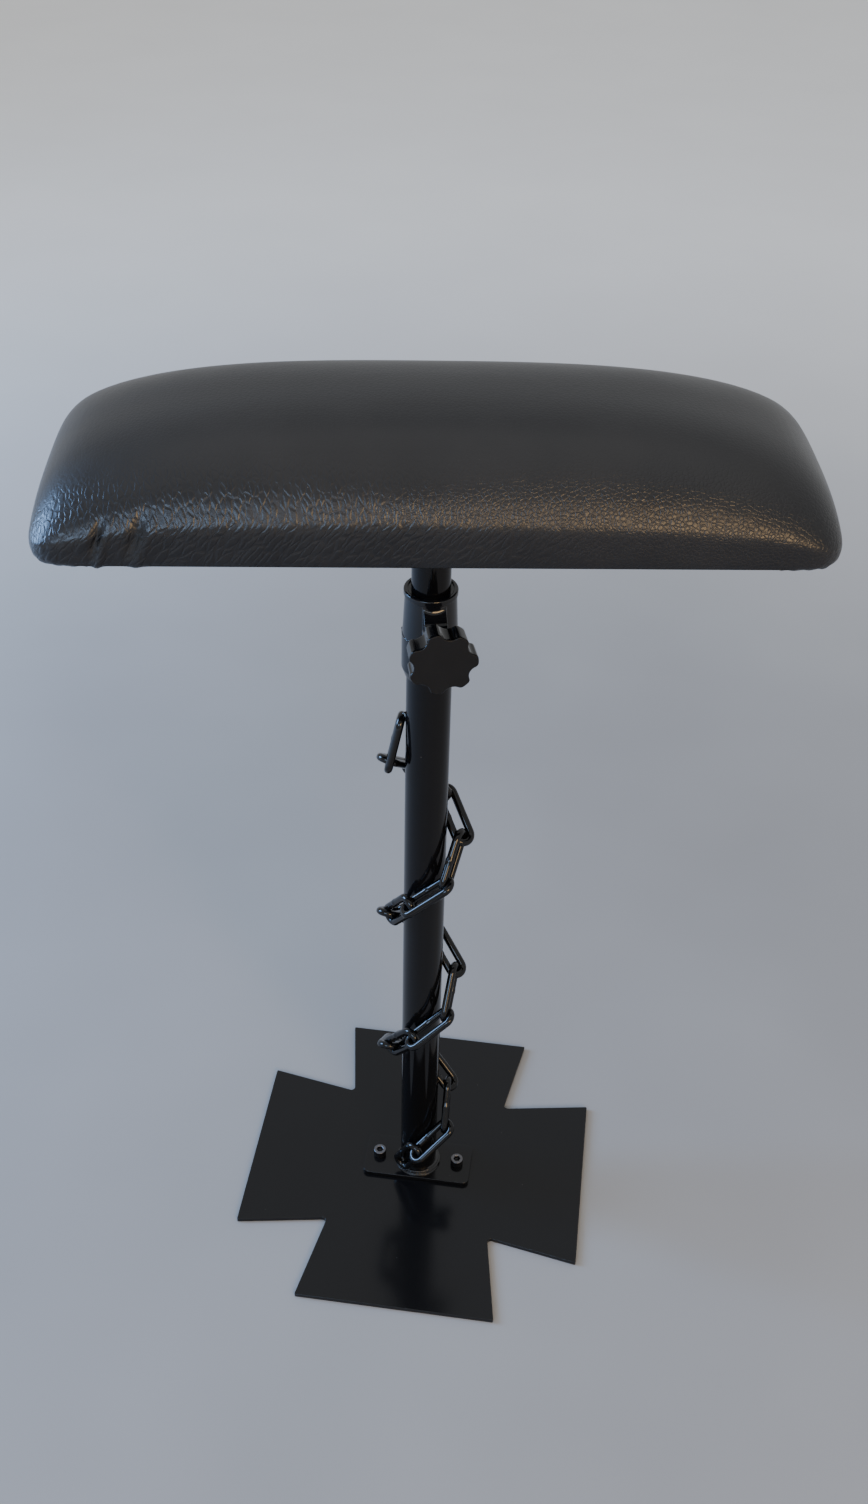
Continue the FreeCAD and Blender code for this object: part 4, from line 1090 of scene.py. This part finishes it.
def makeDustCloth(part, pad):
    # a sheet as a flat loop: its lower face out and its upper face back, closed at both ends
    def steps(half, panel, count):
        rim, fold = half - np.array([0, 0.5, 3, 6, 9]), panel + np.array([1, 0, -0.8, -1.6])
        edge = np.concatenate([rim, fold])
        return np.concatenate([-edge, np.linspace(-panel + 4, panel - 4, count), edge[::-1]])

    x = steps(part["half"][0], part["panelHalf"][0], 90)[:, None]
    y = steps(part["half"][1], part["panelHalf"][1], 34)[None, :]
    z = dustHeight(x, y, part)
    thick = part["thick"] / 2 * np.ones_like(z)
    thick[:, [0, -1]] = part["cutEdge"]
    thick[[0, -1], :] = part["cutEdge"]
    lower = np.stack([x + 0 * y, y + 0 * x, z - thick], -1)
    upper = np.stack([x + 0 * y, y + 0 * x, z + thick], -1)
    points = np.concatenate([lower, upper[:, ::-1]], 1)
    middle = points.copy()
    middle[..., 2] = (points[..., 2] + points[:, ::-1, 2]) / 2
    points = onPost(np.concatenate([middle[:1], points, middle[-1:]]), pad)
    look = Look("dustCloth", {"Specular IOR Level": 0.2, "Sheen Weight": 0.15, "Sheen Roughness": 0.5})
    spot = look.place()
    drawnOut = look.node("Mapping", {}, {"Vector": spot, "Rotation": (0, 0, 0.5), "Scale": (1, 0.2, 1)})
    fibre = look.noise(drawnOut, 1700, 3)
    web = look.noise(spot, 900, 3)
    look.feed({
        "Base Color": look.tint(fibre * 0.5 + web * 0.5, (0.006, 0.006, 0.007), (0.03, 0.03, 0.031)),
        "Roughness": web * 0.1 + 0.85,
        "Normal": look.bump(fibre + web, 0.12),
    })
    cloth = addPiece("dustCloth", [shell(points)], look, "rest", ["dust_cover"])


def stapleWire(part):
    # a flattened wire along the staple's back and down its legs, closed at both ends
    leg = np.array([[-0.5, 1.6], [-0.5, 0.3], [-0.46, 0.06], [-0.4, 0]])
    run = np.concatenate([leg, [[0, 0]], leg[::-1] * (-1, 1)])
    around = evenly(8)
    run = run * (part["stapleLength"], part["stapleDepth"])
    along = np.gradient(run, axis=0)
    along = along / np.linalg.norm(along, axis=1, keepdims=True)
    side = np.stack([-along[:, 1], along[:, 0]], -1)
    radius = part["wire"] / 2
    wire = np.concatenate([
        run[:, None, :1] + side[:, None, :1] * radius * np.cos(around)[:, None],
        0 * run[:, None, :1] + radius * 1.3 * np.sin(around)[:, None],
        run[:, None, 1:] + side[:, None, 1:] * radius * np.cos(around)[:, None]], -1)
    middle = wire.mean(1, keepdims=True)
    return np.concatenate([middle[:1] + 0 * wire[:1], wire, middle[-1:] + 0 * wire[-1:]])


def makeStaples(part, pad):
    # in rows along the cloth's rim, each a little off its place and turned a little, its legs in the board
    wire = stapleWire(part)
    halfLong, halfWide = (half - part["stapleInset"] for half in part["half"])
    rng = np.random.default_rng(11)
    spots = []
    for half, other, turn in ((halfLong, halfWide, 0), (halfWide, halfLong, 90)):
        count = round(2 * half / part["stapleGap"])
        places = (np.arange(count) + 0.5) / count * 2 * half - half
        for side in (-1, 1):
            for along in places + rng.normal(0, part["stapleSlip"], count):
                spots.append((along, side * other, turn) if turn == 0 else (side * other, along, turn))
    height = part["rimHeight"] - part["thick"] / 2 - part["wire"] * 0.3
    shells = []
    for x, y, turn in spots:
        points = turnedBy(wire, turn + rng.normal(0, part["stapleTwist"])) + (x, y, height)
        shells.append(shell(onPost(points, pad)))
    addPiece("dustClothStaples", shells, zincLook, "rest", crease=60)


makeDustCloth(dustCloth, armPad)
makeStaples(dustCloth, armPad)
print("dust cloth stapled on")


# Pieces that stay as they come: the hidden ones get their own finishes

def dress(names, look):
    for name in names:
        nodes[name].data.materials.clear()
        nodes[name].data.materials.append(look.material)


def plainFinish(name, dark, light, scale, rough, depth, fixed=None):
    # two tones mixed by a noise, with the same noise in gloss and bump
    look = Look(name, fixed or {})
    grain = look.noise(look.place(), scale, 3)
    look.feed({
        "Base Color": look.tint(grain, dark, light),
        "Roughness": grain * 0.12 + rough,
        "Normal": look.bump(grain, depth),
    })
    return look


def plywood():
    # birch: fine grain along the board, and darker glue lines between the plies on its edge
    look = Look("plywoodBirch", {})
    spot = look.place((0, 0, 0), (0, 0, -armPad["turn"]), (0.12, 1, 1))
    grain = look.noise(spot, 260, 4)
    layers = {"Vector": look.place(), "Scale": 95.0, "Distortion": 0.4}
    glue = look.node("TexWave", {"bands_direction": "Z"}, layers).ramp(0.75, 0.95)
    look.feed({
        "Base Color": look.tint(grain * 0.7 + glue * 0.3, (0.62, 0.45, 0.27), (0.36, 0.22, 0.12)),
        "Roughness": 0.6 + grain * 0.15,
        "Normal": look.bump(grain, 0.05),
    })
    return look


brass = plainFinish("brassTurned", (0.62, 0.43, 0.16), (0.78, 0.58, 0.26), 400, 0.2, 0.02, {"Metallic": 1.0})
plastic = plainFinish("guidePlastic", (0.012, 0.012, 0.013), (0.02, 0.02, 0.021), 300, 0.4, 0.03)
dress(["pad_board"], plywood())
dress(["threaded_insert"], brass)
dress(["clamp_shoe", "guide_bush", "post_plug"], plastic)
dress(["mount_screws"], zincLook)
print("hidden pieces finished")


# Studio: a floor painted darker near the stand and paler with distance, a painted shade round the stand; a
# plain sky and soft lamps

def addLight(name, place, target, size, power, colour):
    lamp = bpy.data.lights.new(name, "AREA")
    lamp.shape = "RECTANGLE"
    lamp.size, lamp.size_y = size
    lamp.energy = power
    lamp.color = colour
    light = bpy.data.objects.new(name, lamp)
    light.location = place
    light.rotation_euler = (Vector(target) - Vector(place)).to_track_quat("-Z", "Y").to_euler()
    scene.collection.objects.link(light)


studio = {
    "floorShadedNear": (0.28, 0.275, 0.27), "floorFar": (0.97, 0.965, 0.95), "floorHalf": 14000,
    "shadeEndsFrom": 0.7, "shadeEndsTo": 3.2,  # metres from the stand
    "skyTone": (0.97, 0.985, 1.0), "skyPower": 0.63,
    "lamps": [  # name, place, target, size, power, colour
        ("windowLeft", (-2.6, 0.1, 1.4), (0, 0, 0.8), (1.1, 1.3), 115, (0.3, 0.54, 1.0)),
        ("coolFront", (-1.15, -3.0, 2.05), (0, 0, 0.8), (1.5, 0.9), 44, (0.46, 0.67, 1.0)),
        ("warmFront", (1.75, -2.9, 2.0), (0, 0, 0.8), (1.3, 0.95), 60, (1.0, 0.66, 0.32)),
        ("frontStrip", (0.3, -3.1, 2.3), (0, 0, 0.8), (1.5, 0.16), 5, (0.92, 0.95, 1.0)),
        ("overhead", (0.0, -0.1, 3.2), (0, -0.1, 0.5), (3.2, 2.8), 14, (1.0, 0.98, 0.95)),
    ],
}


def makeStudio(look):
    corners = np.array([[[-1, -1, 0], [1, -1, 0]], [[-1, 1, 0], [1, 1, 0]]])
    floor = meshFrom("studioFloor", [shell(corners * float(look["floorHalf"]), wrapColumns=False)])
    finish = Look("floorPaper", {"Roughness": 0.85, "Specular IOR Level": 0.25})
    distance = finish.node("VectorMath", {"operation": "LENGTH"}, {0: finish.place()}, "Value")
    blot = finish.noise(finish.place(), 3) * 0.1
    # the floor's colour is darker near the stand and paler further away: painted shade round the stand, with
    # faint random blots
    pale = distance.ramp(look["shadeEndsFrom"], look["shadeEndsTo"]) * 0.9 + blot
    finish.feed({"Base Color": finish.tint(pale, look["floorShadedNear"], look["floorFar"])})
    piece = bpy.data.objects.new("studioFloor", floor)
    floor.materials.append(finish.material)
    scene.collection.objects.link(piece)
    world = bpy.data.worlds.new("studioSky")
    scene.world = world
    world.use_nodes = True
    sky = world.node_tree.nodes["Background"]
    sky.inputs["Color"].default_value = (*look["skyTone"], 1)
    sky.inputs["Strength"].default_value = look["skyPower"]
    for lamp in look["lamps"]:
        addLight(*lamp)


makeStudio(studio)
